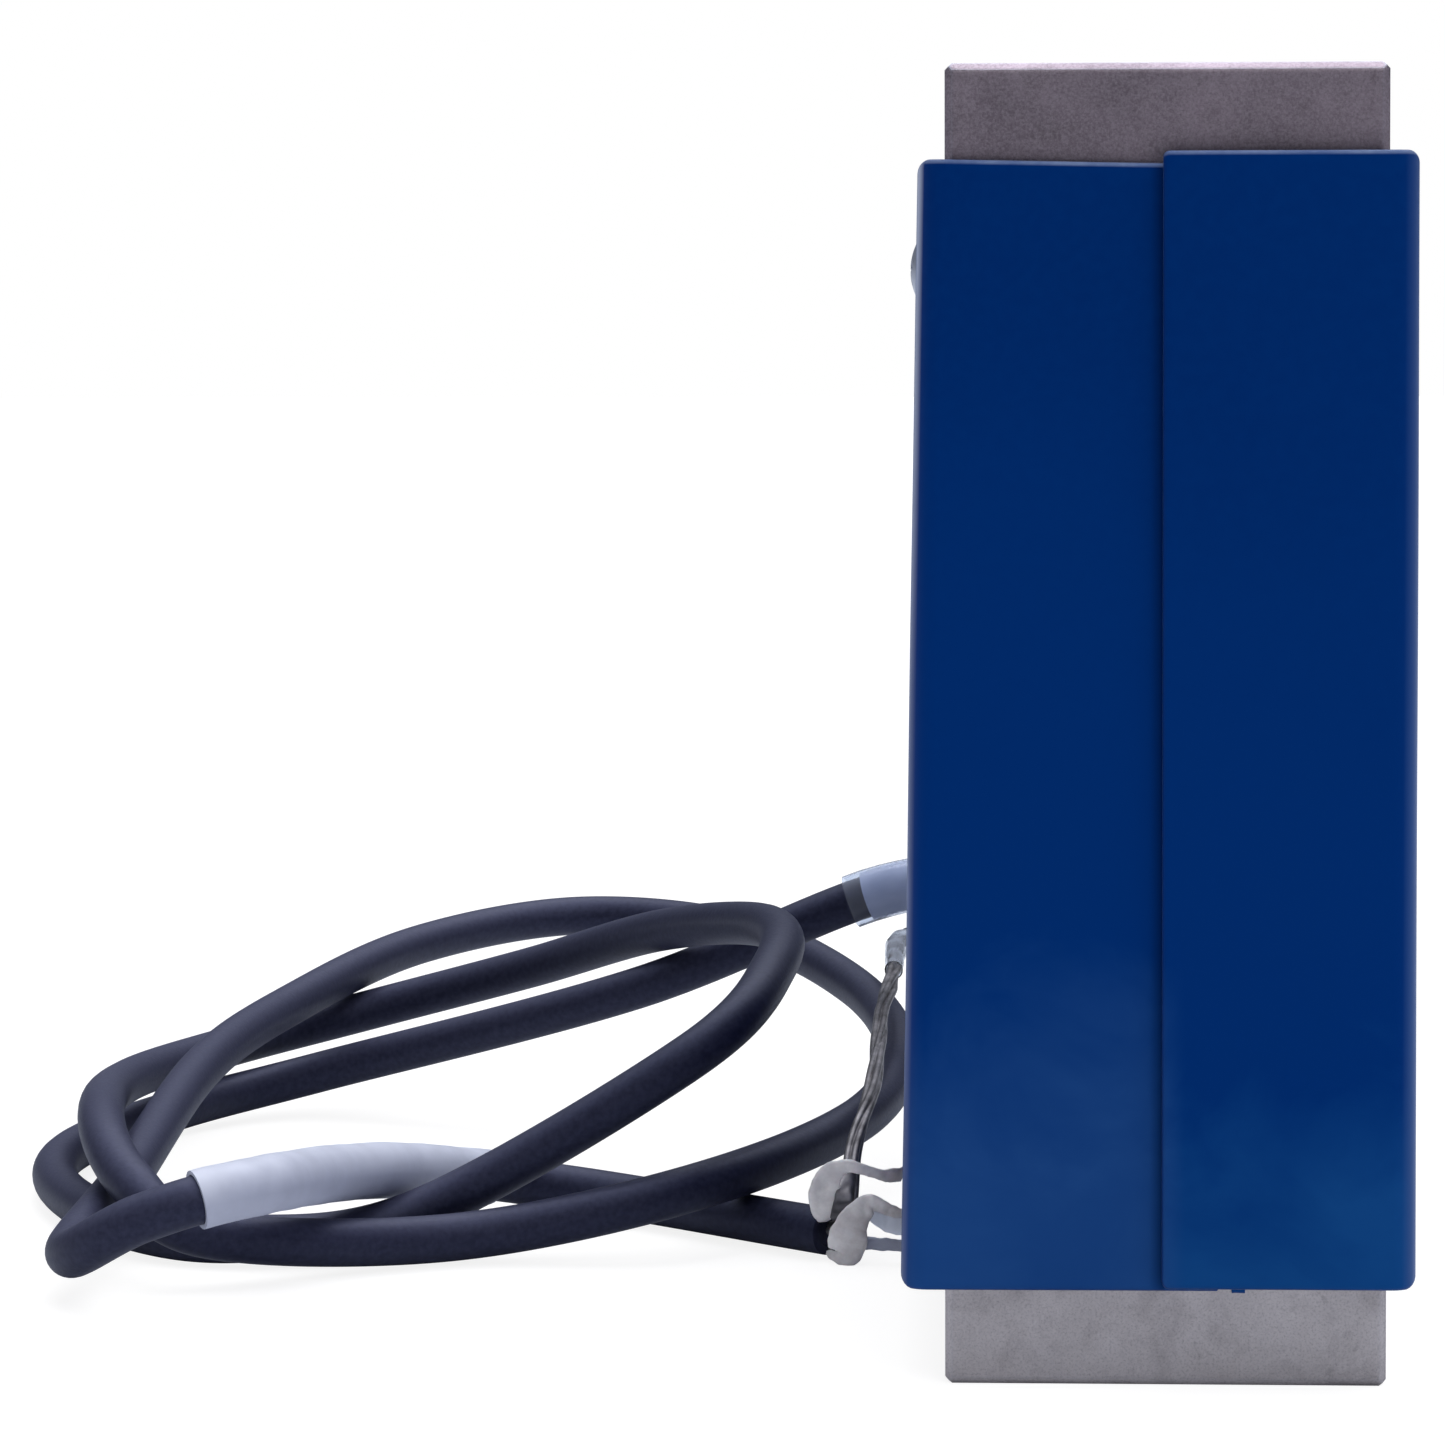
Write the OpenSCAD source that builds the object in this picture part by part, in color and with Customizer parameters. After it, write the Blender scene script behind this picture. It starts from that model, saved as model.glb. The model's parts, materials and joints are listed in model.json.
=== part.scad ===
// S-type load cell: a steel S-beam in a wrapped sheet cover, with its signal cable.
// Millimetres, +Z up. The origin is the centre of the lower thread's mouth, on the load axis.
// The narrow face with the cover's overlap looks along -Y, and the cable leaves at +Y.

/* [Steel beam] */
// Width of the beam, across its narrow face
beam_w = 25.4; // [20:0.2:40]
// Depth of the beam, along its wide face
beam_d = 50.8; // [46:0.2:70]
// Height of the beam along the load axis
beam_h = 76.2; // [74:0.2:110]
// Flat broken along the beam's outer edges
edge_break = 0.4; // [0.2:0.1:1]
// Height of the middle section between the two slots
middle_h = 20.2; // [17:0.2:24]
// Width of the two slots that make the S
slot_w = 3; // [2:0.5:4]
// Diameter of the relief hole at a slot's end
slot_end_d = 5; // [4.5:0.5:6]
// Thickness of the leg left beyond a slot's end
leg_t = 12.4; // [11:0.2:14]

/* [Gauge bores] */
// Diameter of the two bores that the strain gauges sit in
gauge_bore_d = 12; // [11:0.5:13]
// Distance between the two bores
gauge_bore_gap = 18; // [16:0.5:19]
// Height of the opening that joins the bores
link_h = 6; // [5:0.5:7]

/* [Threaded mounts] */
// Diameter of the drilled wall of an M12 threaded hole
thread_d = 10.2; // [9:0.1:11]
// Steel left between a threaded wall's end and the slot
thread_floor = 6; // [4:0.5:10]

/* [Sheet cover] */
// Thickness of the cover's sheet
sheet_t = 0.9; // [0.6:0.1:1.1]
// Gap between the beam and the cover
cover_gap = 0.65; // [0.5:0.05:1]
// Height of the steel left bare under the cover's inner flap
cover_low = 5.75; // [4:0.05:8]
// Height of the steel left bare above the inner flap
bare_top = 5.8; // [3:0.1:7]
// How much higher the outer flap ends than the inner flap, at the top
climb_top = 0.7; // [0:0.05:1]
// How much higher the outer flap ends than the inner flap, at the foot
climb_foot = 0.3; // [0:0.05:1]
// How much further out the left wall stands at its foot than at its top
left_flare = 1; // [0:0.1:1.5]
// Outside radius of the cover's four bends
bend_r = 1.5; // [1.3:0.1:2.5]
// Where the inner flap ends, right of the middle
inner_flap_end = 4.5; // [3:0.1:6]
// Where the outer flap ends at its top, right of the middle
outer_flap_top = -0.3; // [-1:0.1:1]
// Where the outer flap ends at its foot, right of the middle
outer_flap_foot = -0.3; // [-1:0.1:1]
// Radius on the sheet's cut edges
rim_r = 0.3; // [0.1:0.05:0.3]

/* [Cover screws] */
// Distance of the two cover screws below the cover's top
screw_drop = 5.9; // [5.5:0.1:9]
// Diameter of a screw's thread
screw_d = 2.5; // [2:0.1:3]
// Length of a screw's thread in the beam
screw_len = 5; // [4:0.5:6]
// Diameter of a screw's head
head_d = 4; // [3.4:0.1:5]
// Height of a screw's domed head
head_h = 0.55; // [0.4:0.05:1]

/* [Gland] */
// Height of the cable gland on the rear face
gland_z = 19; // [17:0.5:20]
// Diameter of the gland's stem
stem_d = 7.1; // [6:0.1:8]
// Length of the stem inside the beam
stem_len = 6; // [5:0.5:7]
// Size of the gland body across its flats
gland_flats = 11; // [10:0.5:12]
// Height of the gland body's hexagon
gland_hex_h = 3.6; // [3:0.2:5]
// Outside diameter of the sealing washer
washer_d = 12; // [11:0.5:13]
// Thickness of the sealing washer
washer_t = 0.8; // [0.5:0.1:1.2]
// Outside diameter of the clamping nut
nut_d = 10; // [9.5:0.1:11]
// Length of the clamping nut
nut_len = 6; // [5:0.5:8]

/* [Cable] */
// Diameter of the signal cable
cable_d = 3.1; // [2.8:0.1:3.2]
// Wall of the printed marker sleeve
marker_wall = 0.3; // [0.2:0.05:0.5]
// Wall of the clear sleeve
clear_wall = 0.3; // [0.2:0.05:0.5]
// Diameter of the twisted shield wires at the cut end
shield_d = 1.2; // [0.8:0.1:1.4]
// Outside diameter of the clear tube on the shield wires
tube_d = 2.4; // [2.2:0.1:2.6]
// Diameter of the thin white wire at the cut end
white_wire_d = 0.7; // [0.6:0.1:0.9]

/* [Inner parts] */
// Gap between the terminal board and the plugs at its two ends
board_gap = 1.2; // [1:0.1:3]
// Width of the terminal board
board_w = 7; // [6.5:0.1:7.2]
// Thickness of the terminal board
board_t = 0.8; // [0.6:0.1:1.2]
// Length of a strain gauge along its bore
gauge_len = 8; // [6:0.5:10]
// Thickness of a strain gauge's backing film
film_t = 0.12; // [0.1:0.02:0.2]
// Diameter of an inner wire
wire_d = 0.5; // [0.4:0.02:0.6]
// Diameter of an enamelled gauge lead
lead_d = 0.24; // [0.2:0.02:0.3]
// Depth of the silicone plug in each end of the gauge bores
plug_t = 4.5; // [3:0.5:5]
// Height of a gasket strip
gasket_h = 3; // [2:0.5:4]

/* [Hidden] */

// Places that follow from the driving sizes
mid_z = beam_h / 2;
block_h = (beam_h - middle_h) / 2 - slot_w;
thread_depth = block_h - thread_floor;
board_len = beam_w - 2 * (plug_t + board_gap);
half_w = beam_w / 2;
half_d = beam_d / 2;
bore_y = gauge_bore_gap / 2;
slot_end_y = half_d - leg_t;
side_x = half_w + cover_gap;
front_y = half_d + cover_gap;
flap_gap = 0.1;
cover_top = beam_h - bare_top;
cover_h = cover_top - cover_low;
screw_z = cover_top - screw_drop;
fit_gap = 0.05;
through = 1;

// Passage for the inner wires: a cross hole from the gland bore and a groove on the right face
passage_d = 5.2;
drill_tip_d = 0.5;
cross_d = 4.2;
cross_y = half_d - leg_t / 2 - 1;
groove_w = 4;
groove_t = 3;

// Gland stations along Y, from the beam's rear face outwards
hex_y = half_d + washer_t;
nut_gap = 0.2;
nut_y = hex_y + gland_hex_h + nut_gap;
exit_y = nut_y + nut_len;
barrel_len = 3;
seal_d = 6;
bore_clear = 0.1;
cable_bore = cable_d + 2 * bore_clear;

// Route of the cable from the gland to its cut end: three loose turns beside the beam
ROUTE = [[0, exit_y, gland_z], [0, exit_y + 6.5, gland_z], [-4.5, 51.5, 19], [-16, 57.5, 19.5],
    [-36, 60, 11.5], [-61, 71, 3.5], [-71, 62.5, 1.8], [-75.5, 45, 1.8], [-74.2, 30, 1.8],
    [-67, 14.5, 1.8], [-58.5, 9.5, 1.8], [-47.5, 14, 2.8], [-29.5, 16, 13], [-24.5, 26, 17.5],
    [-25.5, 41, 18.5], [-34, 59, 16], [-45, 71.5, 11.5], [-58, 76.5, 7.5], [-68.5, 69, 5.5],
    [-72, 46, 6.5], [-68.6, 15, 8.9], [-64.9, 4, 6.5], [-59.5, 2.2, 3.4], [-45, 10.5, 1.8],
    [-29.5, 14, 4.5], [-19, 33, 6], [-16.5, 55, 7.5], [-20, 76, 9.5], [-29.5, 91, 12],
    [-43, 97, 12.5], [-55, 85.5, 11.5], [-62.5, 65, 9.5], [-66, 43, 8], [-66.8, 13, 4.9],
    [-67.6, -3, 3.2], [-62.3, -7.6, 6.2], [-56, -4.4, 7.6], [-49.5, 16, 5.25], [-39, 28, 2.1],
    [-20.5, 13.5, 1.8]];
// Route of the twisted shield wires, from the cut end over the cable and down behind the beam
SHIELD_ROUTE = [[-20.3, 13.3, 1.9], [-19.3, 12.7, 2.4], [-19.1, 13.8, 4.2], [-18.9, 17.5, 6.6],
    [-18, 25.5, 8.8], [-17.5, 38, 10.2], [-17, 51.5, 11.2], [-16.5, 64, 12], [-15.5, 76, 13], [-12, 86, 11],
    [-9, 92, 5.5], [-7.5, 96, 0.8]];
// Route of the thin white wire at the cut end
WHITE_LOWER = [[-20.05, 12.75, 1.05], [-19, 12.3, 1.3], [-17.3, 11.9, 1.15], [-15.95, 12.6, 1]];
// Stations of the flattened white wire and of the wrap at the cut end, each [x, y, z, half width,
// half thickness along Y]
WHITE_UPPER = [[-20.3, 12.6, 2.75, 0.35, 0.22], [-21.1, 12.8, 4, 0.42, 0.28], [-20.9, 12.8, 5.3, 0.6, 0.3],
    [-19.85, 12.3, 6.25, 0.65, 0.3], [-18.1, 12.2, 6.2, 0.45, 0.25], [-16.8, 12.8, 5.6, 0.42, 0.25],
    [-15.85, 14.5, 5.3, 0.36, 0.2]];
WRAP_LUMP = [[-20.6, 12.4, 0.65, 0.25, 0.2], [-20, 11.6, 0.6, 0.5, 0.35], [-19.5, 11.3, 1.3, 1.1, 0.45],
    [-19.1, 11.3, 2.3, 1.2, 0.45], [-18.7, 11.3, 3.3, 1.05, 0.4], [-18.3, 11.3, 4.2, 0.5, 0.3]];
WRAP_TAIL = [[-18.5, 11.3, 3.7, 0.5, 0.2], [-17.9, 11.3, 3.45, 0.6, 0.2], [-16.8, 11.4, 2.75, 0.6, 0.2],
    [-15.75, 12.2, 2, 0.55, 0.2]];

// Position on a smooth curve through a route's points, at t spans from its start
function at_end(route, i) = i < 0 ? 2 * route[0] - route[1] :
    i >= len(route) ? 2 * route[len(route) - 1] - route[len(route) - 2] : route[i];
function blend4(a, b, c, d, u) =
    0.5 * (2 * b + (c - a) * u + (2 * a - 5 * b + 4 * c - d) * u * u + (3 * b - a - 3 * c + d) * u * u * u);
function on_route(route, t) = let (i = min(floor(t), len(route) - 2))
    blend4(at_end(route, i - 1), route[i], at_end(route, i + 1), at_end(route, i + 2), t - i);
function unit(v) = v / norm(v);

// Ring of points square to a route at t
function ring_at(route, t, r, sides) = let (
        step = 0.01,
        last = len(route) - 1,
        p = on_route(route, t),
        run = unit(on_route(route, min(t + step, last)) - on_route(route, max(t - step, 0))),
        side = unit(cross(run, abs(run[2]) > 0.9 ? [0, 1, 0] : [0, 0, 1])),
        up = cross(side, run))
    [for (k = [0:sides - 1]) p + r * (side * cos(360 * k / sides) + up * sin(360 * k / sides))];

// Faces of the wall between rings, and of a closed end
function wall_faces(rings, n, from = 0) = [for (i = [0:rings - 2], k = [0:n - 1])
    let (a = from + i * n + k, b = from + i * n + (k + 1) % n) each [[a, b, b + n], [a, b + n, a + n]]];
function end_face(start, n) = [for (k = [0:n - 1]) start + k];
function flipped(face) = [for (k = [len(face) - 1:-1:0]) face[k]];

// Solid tube along a route, between two places on it
module along_route(route, r, from, to, spans, sides = 8) {
    rings = [for (i = [0:spans]) ring_at(route, from + (to - from) * i / spans, r, sides)];
    points = [for (ring = rings, p = ring) p];
    polyhedron(points, concat(wall_faces(spans + 1, sides),
        [flipped(end_face(0, sides)), end_face(spans * sides, sides)]), convexity = 10);
}

// Ring round a faceted tube at t, on the straight line between the tube's own two rings there
rings_per_span = 2;
function ring_on_tube(route, t, r, sides) = let (
        step = 1 / rings_per_span,
        a = step * floor(t / step),
        u = (t - a) / step,
        first = ring_at(route, a, r, sides),
        next = ring_at(route, a + step, r, sides))
    [for (k = [0:sides - 1]) (1 - u) * first[k] + u * next[k]];

// Open sleeve round a tube, between two places on it
module sleeve_on_tube(route, r_in, r_out, from, to, sides = 8) {
    step = 1 / rings_per_span;
    inside = [for (t = [step * ceil(from / step):step:to]) if (t > from && t < to) t];
    places = concat([from], inside, [to]);
    outer = [for (t = places, p = ring_on_tube(route, t, r_out, sides)) p];
    inner = [for (t = places, p = ring_on_tube(route, t, r_in, sides)) p];
    first_in = len(outer);
    last_out = first_in - sides;
    ends = [for (k = [0:sides - 1]) let (n = (k + 1) % sides)
        each [[k, first_in + k, first_in + n], [k, first_in + n, n],
            [last_out + k, last_out + n, first_in + last_out + n],
            [last_out + k, first_in + last_out + n, first_in + last_out + k]]];
    polyhedron(concat(outer, inner), concat(wall_faces(len(places), sides),
        [for (f = wall_faces(len(places), sides, first_in)) flipped(f)], ends), convexity = 10);
}

// Ring of a flat strip at one of its stations: its width lies across the run, its thickness along Y
function strip_ring(places, i, sides) = let (
        before = places[max(i - 1, 0)],
        after = places[min(i + 1, len(places) - 1)],
        run = unit([after[0] - before[0], 0, after[2] - before[2]]),
        p = places[i])
    [for (k = [0:sides - 1]) [p[0], p[1], p[2]] + p[3] * cos(360 * k / sides) * [-run[2], 0, run[0]]
        + p[4] * sin(360 * k / sides) * [0, 1, 0]];
module flat_strip(places, sides = 8) {
    count = len(places);
    polyhedron([for (i = [0:count - 1], p = strip_ring(places, i, sides)) p],
        concat(wall_faces(count, sides), [flipped(end_face(0, sides)), end_face((count - 1) * sides, sides)]),
        convexity = 6);
}

// Rectangle with its corners cut at 45 degrees
module cut_corner_rect(w, d, cut) {
    polygon([for (s = [[1, 1], [-1, 1], [-1, -1], [1, -1]], e = [0, 1])
        let (first = (s[0] * s[1] > 0) == (e == 0))
        [s[0] * (w / 2 - (first ? 0 : cut)), s[1] * (d / 2 - (first ? cut : 0))]]);
}

// Block with all twelve outer edges broken
module broken_block(w, d, h, cut) {
    intersection() {
        linear_extrude(h) cut_corner_rect(w, d, cut);
        translate([0, half_d + through, h / 2]) rotate([90, 0, 0]) linear_extrude(d + 2 * through)
            cut_corner_rect(w, h, cut);
        translate([-half_w - through, 0, h / 2]) rotate([90, 0, 90]) linear_extrude(w + 2 * through)
            cut_corner_rect(d, h, cut);
    }
}

// One of the two slots of the S, open towards the front, in the plane of the wide face
module slot_outline() {
    translate([-half_d - through, -slot_w / 2])
        square([half_d + slot_end_y - slot_end_d / 2 + through, slot_w]);
    translate([slot_end_y - slot_end_d / 2, 0]) circle(d = slot_end_d, $fn = 48);
}

// Gauge bores and the link between them, in the plane of the wide face
module cavity_outline(gap = 0) {
    for (s = [-1, 1]) translate([s * bore_y, 0]) circle(d = gauge_bore_d - 2 * gap, $fn = 96);
    square([gauge_bore_gap, link_h - 2 * gap], center = true);
}

// Groove for the inner wires, on the right wide face, from the cross hole to the rear gauge bore
module groove(gap = 0) {
    w = groove_w - 2 * gap;
    translate([half_w - groove_t + gap, cross_y - w / 2, gland_z])
        cube([groove_t + through, w, mid_z - gland_z + w / 2]);
    translate([half_w - groove_t + gap, bore_y + 2, mid_z - w / 2])
        cube([groove_t + through, cross_y - bore_y - 2, w]);
}

// Threaded hole wall with its drilled point, mouth at the origin, running down
module thread_hole() {
    translate([0, 0, -thread_depth]) cylinder(d = thread_d, h = thread_depth + through);
    translate([0, 0, -thread_depth - thread_d / 4])
        cylinder(d1 = drill_tip_d, d2 = thread_d, h = thread_d / 4);
}

module s_beam() {
    color([0.56, 0.55, 0.56]) difference() {
        broken_block(beam_w, beam_d, beam_h, edge_break);
        // The two slots, the lower open at the front and the upper open at the rear
        translate([-half_w - through, 0, block_h + slot_w / 2]) rotate([90, 0, 90])
            linear_extrude(beam_w + 2 * through) slot_outline();
        translate([-half_w - through, 0, beam_h - block_h - slot_w / 2]) rotate([90, 0, 90])
            linear_extrude(beam_w + 2 * through) mirror([1, 0]) slot_outline();
        translate([-half_w - through, 0, mid_z]) rotate([90, 0, 90])
            linear_extrude(beam_w + 2 * through) cavity_outline();
        // Threaded mounts
        translate([0, 0, beam_h]) thread_hole($fn = 96);
        mirror([0, 0, 1]) thread_hole($fn = 96);
        // Cover screw holes
        for (s = [-1, 1]) translate([s * (half_w + through), 0, screw_z]) rotate([0, -s * 90, 0])
            cylinder(d = screw_d + 2 * fit_gap, h = screw_len + 1 + through, $fn = 48);
        // Gland bore, wire passage, cross hole and groove
        translate([0, half_d + through, gland_z]) rotate([90, 0, 0]) {
            cylinder(d = stem_d + 2 * fit_gap, h = stem_len + 0.4 + through, $fn = 64);
            cylinder(d = passage_d, h = half_d - cross_y + through, $fn = 48);
        }
        translate([-cross_d / 2, cross_y, gland_z]) rotate([0, 90, 0])
            cylinder(d = cross_d, h = half_w + cross_d / 2 + through, $fn = 48);
        groove();
    }
}

// Left wall's outward shift at height z
function flare_at(z) = left_flare * (cover_top - z) / cover_h;
// Outer flap's end at height z
function seam_at(z) = outer_flap_foot + (outer_flap_top - outer_flap_foot) * (z - cover_low) / cover_h;

// Stations round the wrap, each [x, y, outward x, outward y, climb share, foot trim, left wall share].
// They run from the inner flap's end, round the left, rear and right walls, to the outer flap's end.
mid_r = bend_r - sheet_t / 2;
wall_x = side_x + sheet_t / 2;
inner_y = front_y + sheet_t / 2;
outer_y = inner_y + sheet_t + flap_gap;
bend_steps = 6;
chip_from = inner_flap_end - 1.5;
chip_to = inner_flap_end - 0.8;
chip_h = 0.2;
tab_h = 0.1;
function bend_stations(x, y, from, climb, left) = [for (i = [0:bend_steps])
    let (a = from - 90 * i / bend_steps)
    [x + mid_r * cos(a), y + mid_r * sin(a), cos(a), sin(a), climb, 0, left]];
WRAP = concat(
    [for (p = [[inner_flap_end, -tab_h], [chip_to + 0.05, -tab_h], [chip_to, chip_h], [chip_from, chip_h],
        [chip_from - 0.1, 0]]) [p[0], -inner_y, 0, -1, 0, p[1], 0]],
    bend_stations(-wall_x + mid_r, -inner_y + mid_r, 270, 0, 1),
    bend_stations(-wall_x + mid_r, inner_y - mid_r, 180, 0, 1),
    bend_stations(wall_x - mid_r, inner_y - mid_r, 90, 1, 0),
    bend_stations(wall_x - mid_r, -outer_y + mid_r, 0, 1, 0),
    [[0, -outer_y, 0, -1, 1, 0, 0]]);

// Loop of the sheet's section at a station: offset across the sheet and height, with round cut edges
rim_steps = 3;
function rim_corner(o, z, from) = [for (i = [0:rim_steps]) let (a = from + 90 * i / rim_steps)
    [o + rim_r * cos(a), z + rim_r * sin(a)]];
function sheet_loop(low, high) = let (o = sheet_t / 2 - rim_r) concat(
    rim_corner(o, low + rim_r, -90), rim_corner(o, high - rim_r, 0),
    rim_corner(-o, high - rim_r, 90), rim_corner(-o, low + rim_r, 180));
function wrap_point(s, q, last) = let (shift = s[6] * flare_at(q[1]))
    [(last ? seam_at(q[1]) : s[0]) + s[2] * q[0] - shift, s[1] + s[3] * q[0], q[1]];

module wrap_sheet() {
    count = len(WRAP);
    loop_n = 4 * (rim_steps + 1);
    points = [for (i = [0:count - 1])
        let (s = WRAP[i], low = cover_low + s[4] * climb_foot + s[5], high = cover_top + s[4] * climb_top)
        for (q = sheet_loop(low, high)) wrap_point(s, q, i == count - 1)];
    polyhedron(points, concat([for (f = wall_faces(count, loop_n)) flipped(f)],
        [end_face(0, loop_n), flipped(end_face((count - 1) * loop_n, loop_n))]), convexity = 10);
}

module wrap_cover() {
    color([0.02, 0.15, 0.4]) difference() {
        wrap_sheet();
        for (s = [-1, 1]) translate([s * (side_x - through), 0, screw_z]) rotate([0, s * 90, 0])
            cylinder(d = screw_d + 0.6, h = sheet_t + 3 * through, $fn = 32);
        translate([0, front_y + sheet_t + through, gland_z]) rotate([90, 0, 0])
            cylinder(d = gland_flats / cos(30) + 0.8, h = sheet_t + 2 * through, $fn = 48);
    }
}

// Domed screw along +X, its head's seat at the origin
module cover_screw() {
    dome_r = (head_d * head_d / 4 + head_h * head_h) / (2 * head_h);
    dome_a = asin(head_d / 2 / dome_r);
    dome_steps = 8;
    rotate([0, 90, 0]) rotate_extrude($fn = 64)
        polygon(concat([[0, 0]], [for (i = [0:dome_steps]) let (a = dome_a * (1 - i / dome_steps))
            [dome_r * sin(a), max(0, head_h - dome_r * (1 - cos(a)))]]));
    translate([-screw_len - cover_gap - sheet_t, 0, 0]) rotate([0, 90, 0])
        cylinder(d = screw_d, h = screw_len + cover_gap + sheet_t, $fn = 48);
}

head_seat = side_x + sheet_t + 0.03;
module cover_screw_left() {
    color("silver") translate([-head_seat - flare_at(screw_z), 0, screw_z]) mirror([1, 0, 0]) cover_screw();
}
module cover_screw_right() {
    color("silver") translate([head_seat, 0, screw_z]) cover_screw();
}

// Foam strip round the beam, inside the cover
foam_gap = 0.01;
module gasket(z) {
    translate([0, 0, z]) linear_extrude(gasket_h) difference() {
        cut_corner_rect(beam_w + 2 * (cover_gap - fit_gap), beam_d + 2 * (cover_gap - fit_gap), edge_break);
        cut_corner_rect(beam_w + 2 * foam_gap, beam_d + 2 * foam_gap, edge_break);
    }
}
module upper_gasket() {
    color("dimgray") gasket(cover_top - gasket_h - 0.6);
}
module lower_gasket() {
    color("dimgray") gasket(cover_low + climb_foot + 1.5);
}

// Shapes of the gland stand on the rear face, their axis along +Y
module on_rear(y) {
    translate([0, y, gland_z]) rotate([-90, 0, 0]) children();
}
module gland_washer() {
    color("dimgray") on_rear(half_d) difference() {
        cylinder(d = washer_d, h = washer_t, $fn = 64);
        translate([0, 0, -through]) cylinder(d = stem_d + 0.2, h = washer_t + 2 * through, $fn = 64);
    }
}
barrel_d = nut_d - 1.6;
seal_depth = barrel_len;
module gland_body() {
    color("silver") difference() {
        union() {
            on_rear(half_d - stem_len) cylinder(d = stem_d, h = stem_len + washer_t, $fn = 64);
            on_rear(hex_y) intersection() {
                cylinder(d = gland_flats / cos(30), h = gland_hex_h, $fn = 6);
                cylinder(d1 = gland_flats / cos(30), d2 = gland_flats / cos(30) - 0.5, h = gland_hex_h,
                    $fn = 64);
            }
            on_rear(hex_y + gland_hex_h) cylinder(d = barrel_d, h = barrel_len, $fn = 64);
        }
        on_rear(half_d - stem_len - through) cylinder(d = cable_bore, h = exit_y, $fn = 48);
        on_rear(hex_y + gland_hex_h + barrel_len - seal_depth) cylinder(d = seal_d, h = exit_y, $fn = 48);
    }
}
module gland_seal() {
    color("#222222") on_rear(hex_y + gland_hex_h) difference() {
        union() {
            cylinder(d = seal_d - 2 * fit_gap, h = seal_depth, $fn = 48);
            translate([0, 0, seal_depth])
                cylinder(d1 = seal_d - 2 * fit_gap, d2 = cable_d + 1.6, h = 0.8, $fn = 48);
        }
        translate([0, 0, -through]) cylinder(d = cable_d + 0.02, h = exit_y, $fn = 48);
    }
}
module gland_nut() {
    neck = nut_len - barrel_len;
    taper_h = 1.6;
    color("silver") on_rear(nut_y) difference() {
        intersection() {
            cylinder(d = nut_d / cos(30), h = nut_len, $fn = 6);
            cylinder(d = nut_d / cos(30) - 0.4, h = nut_len, $fn = 64);
        }
        translate([0, 0, -through]) cylinder(d = cable_bore, h = nut_len + 2 * through, $fn = 48);
        translate([0, 0, -through]) cylinder(d = barrel_d + 0.1, h = barrel_len + through, $fn = 64);
        translate([0, 0, barrel_len - 0.01])
            cylinder(d1 = seal_d + 0.2, d2 = cable_bore, h = neck - 0.8, $fn = 48);
        translate([0, 0, nut_len - 0.6]) cylinder(d1 = cable_bore, d2 = cable_bore + 1.2, h = 0.61, $fn = 48);
        difference() {
            translate([0, 0, nut_len - taper_h]) cylinder(d = nut_d + 3, h = taper_h + through, $fn = 64);
            translate([0, 0, nut_len - taper_h])
                cylinder(d1 = nut_d / cos(30), d2 = nut_d - 3.4, h = taper_h, $fn = 64);
        }
    }
}

module cable_inner_end() {
    color([0.16, 0.17, 0.24]) on_rear(half_d - stem_len)
        cylinder(d = cable_d, h = exit_y - half_d + stem_len - 0.02, $fn = 32);
}

// Straight wires joined end to end through a list of places
module wire(places, d) {
    for (i = [0:len(places) - 2]) let (a = places[i], b = places[i + 1], v = b - a, l = norm(v)) {
        translate(a) rotate([0, acos(v[2] / l), atan2(v[1], v[0])]) cylinder(d = d, h = l, $fn = 16);
        if (i > 0) translate(a) sphere(d = d, $fn = 16);
    }
}

// Four wires from the cable, through the cross hole and the groove, to the board's pads
board_top = mid_z - link_h / 2 + board_t;
pad_y = board_w / 2 - 1;
pad_h = 0.2;
board_unit = board_len / 14;
core_places = board_unit * [5.5, 1.5, 3.5, -0.5];
core_step = 0.5;
function core_route(i) = let (
        a = i < 2 ? -core_step : core_step,
        b = i % 2 == 0 ? -core_step : core_step,
        x = half_w - groove_t / 2 - b,
        y = bore_y + (b < 0 ? 0 : 3 * core_step),
        z = mid_z + a,
        pad_x = core_places[i])
    [[a, half_d - stem_len, gland_z + b], [a, cross_y + a, gland_z + b], [x, cross_y + a, gland_z + b],
        [x, cross_y + a, z], [x, y, z], [pad_x, y, z], [pad_x, pad_y, board_top + pad_h + wire_d / 2]];
module inner_cores() {
    color("white") for (i = [0:3]) wire(core_route(i), wire_d);
}

module terminal_board() {
    color("darkgreen") translate([-board_len / 2, -board_w / 2, mid_z - link_h / 2])
        cube([board_len, board_w, board_t]);
    color("silver") for (s = [-1, 1], x = pad_places(s)) translate([x, s * pad_y, board_top])
        cylinder(d = 0.9, h = pad_h, $fn = 24);
}
lead_pads = board_unit * [-2.2, -3.4, -4.6, -5.8];
front_pad_shift = 0.6 * board_unit;
function lead_places(s) = [for (x = lead_pads) s > 0 ? x : x + front_pad_shift];
function pad_places(s) = s > 0 ? concat(core_places, lead_places(s)) : lead_places(s);

// Small resistors lying on the board, each with a collar at both ends
resistor_d = 1.4;
resistor_len = 3 * board_unit;
collar_len = 0.7;
module trim_resistors() {
    color("tan") for (x = board_unit * [-4, 0.2, 4.4])
        translate([x - resistor_len / 2, 0, board_top + resistor_d / 2]) rotate([0, 90, 0]) {
            cylinder(d = resistor_d - 0.2, h = resistor_len, $fn = 32);
            for (z = [0, resistor_len - collar_len]) translate([0, 0, z])
                cylinder(d = resistor_d, h = collar_len, $fn = 32);
        }
}

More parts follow.
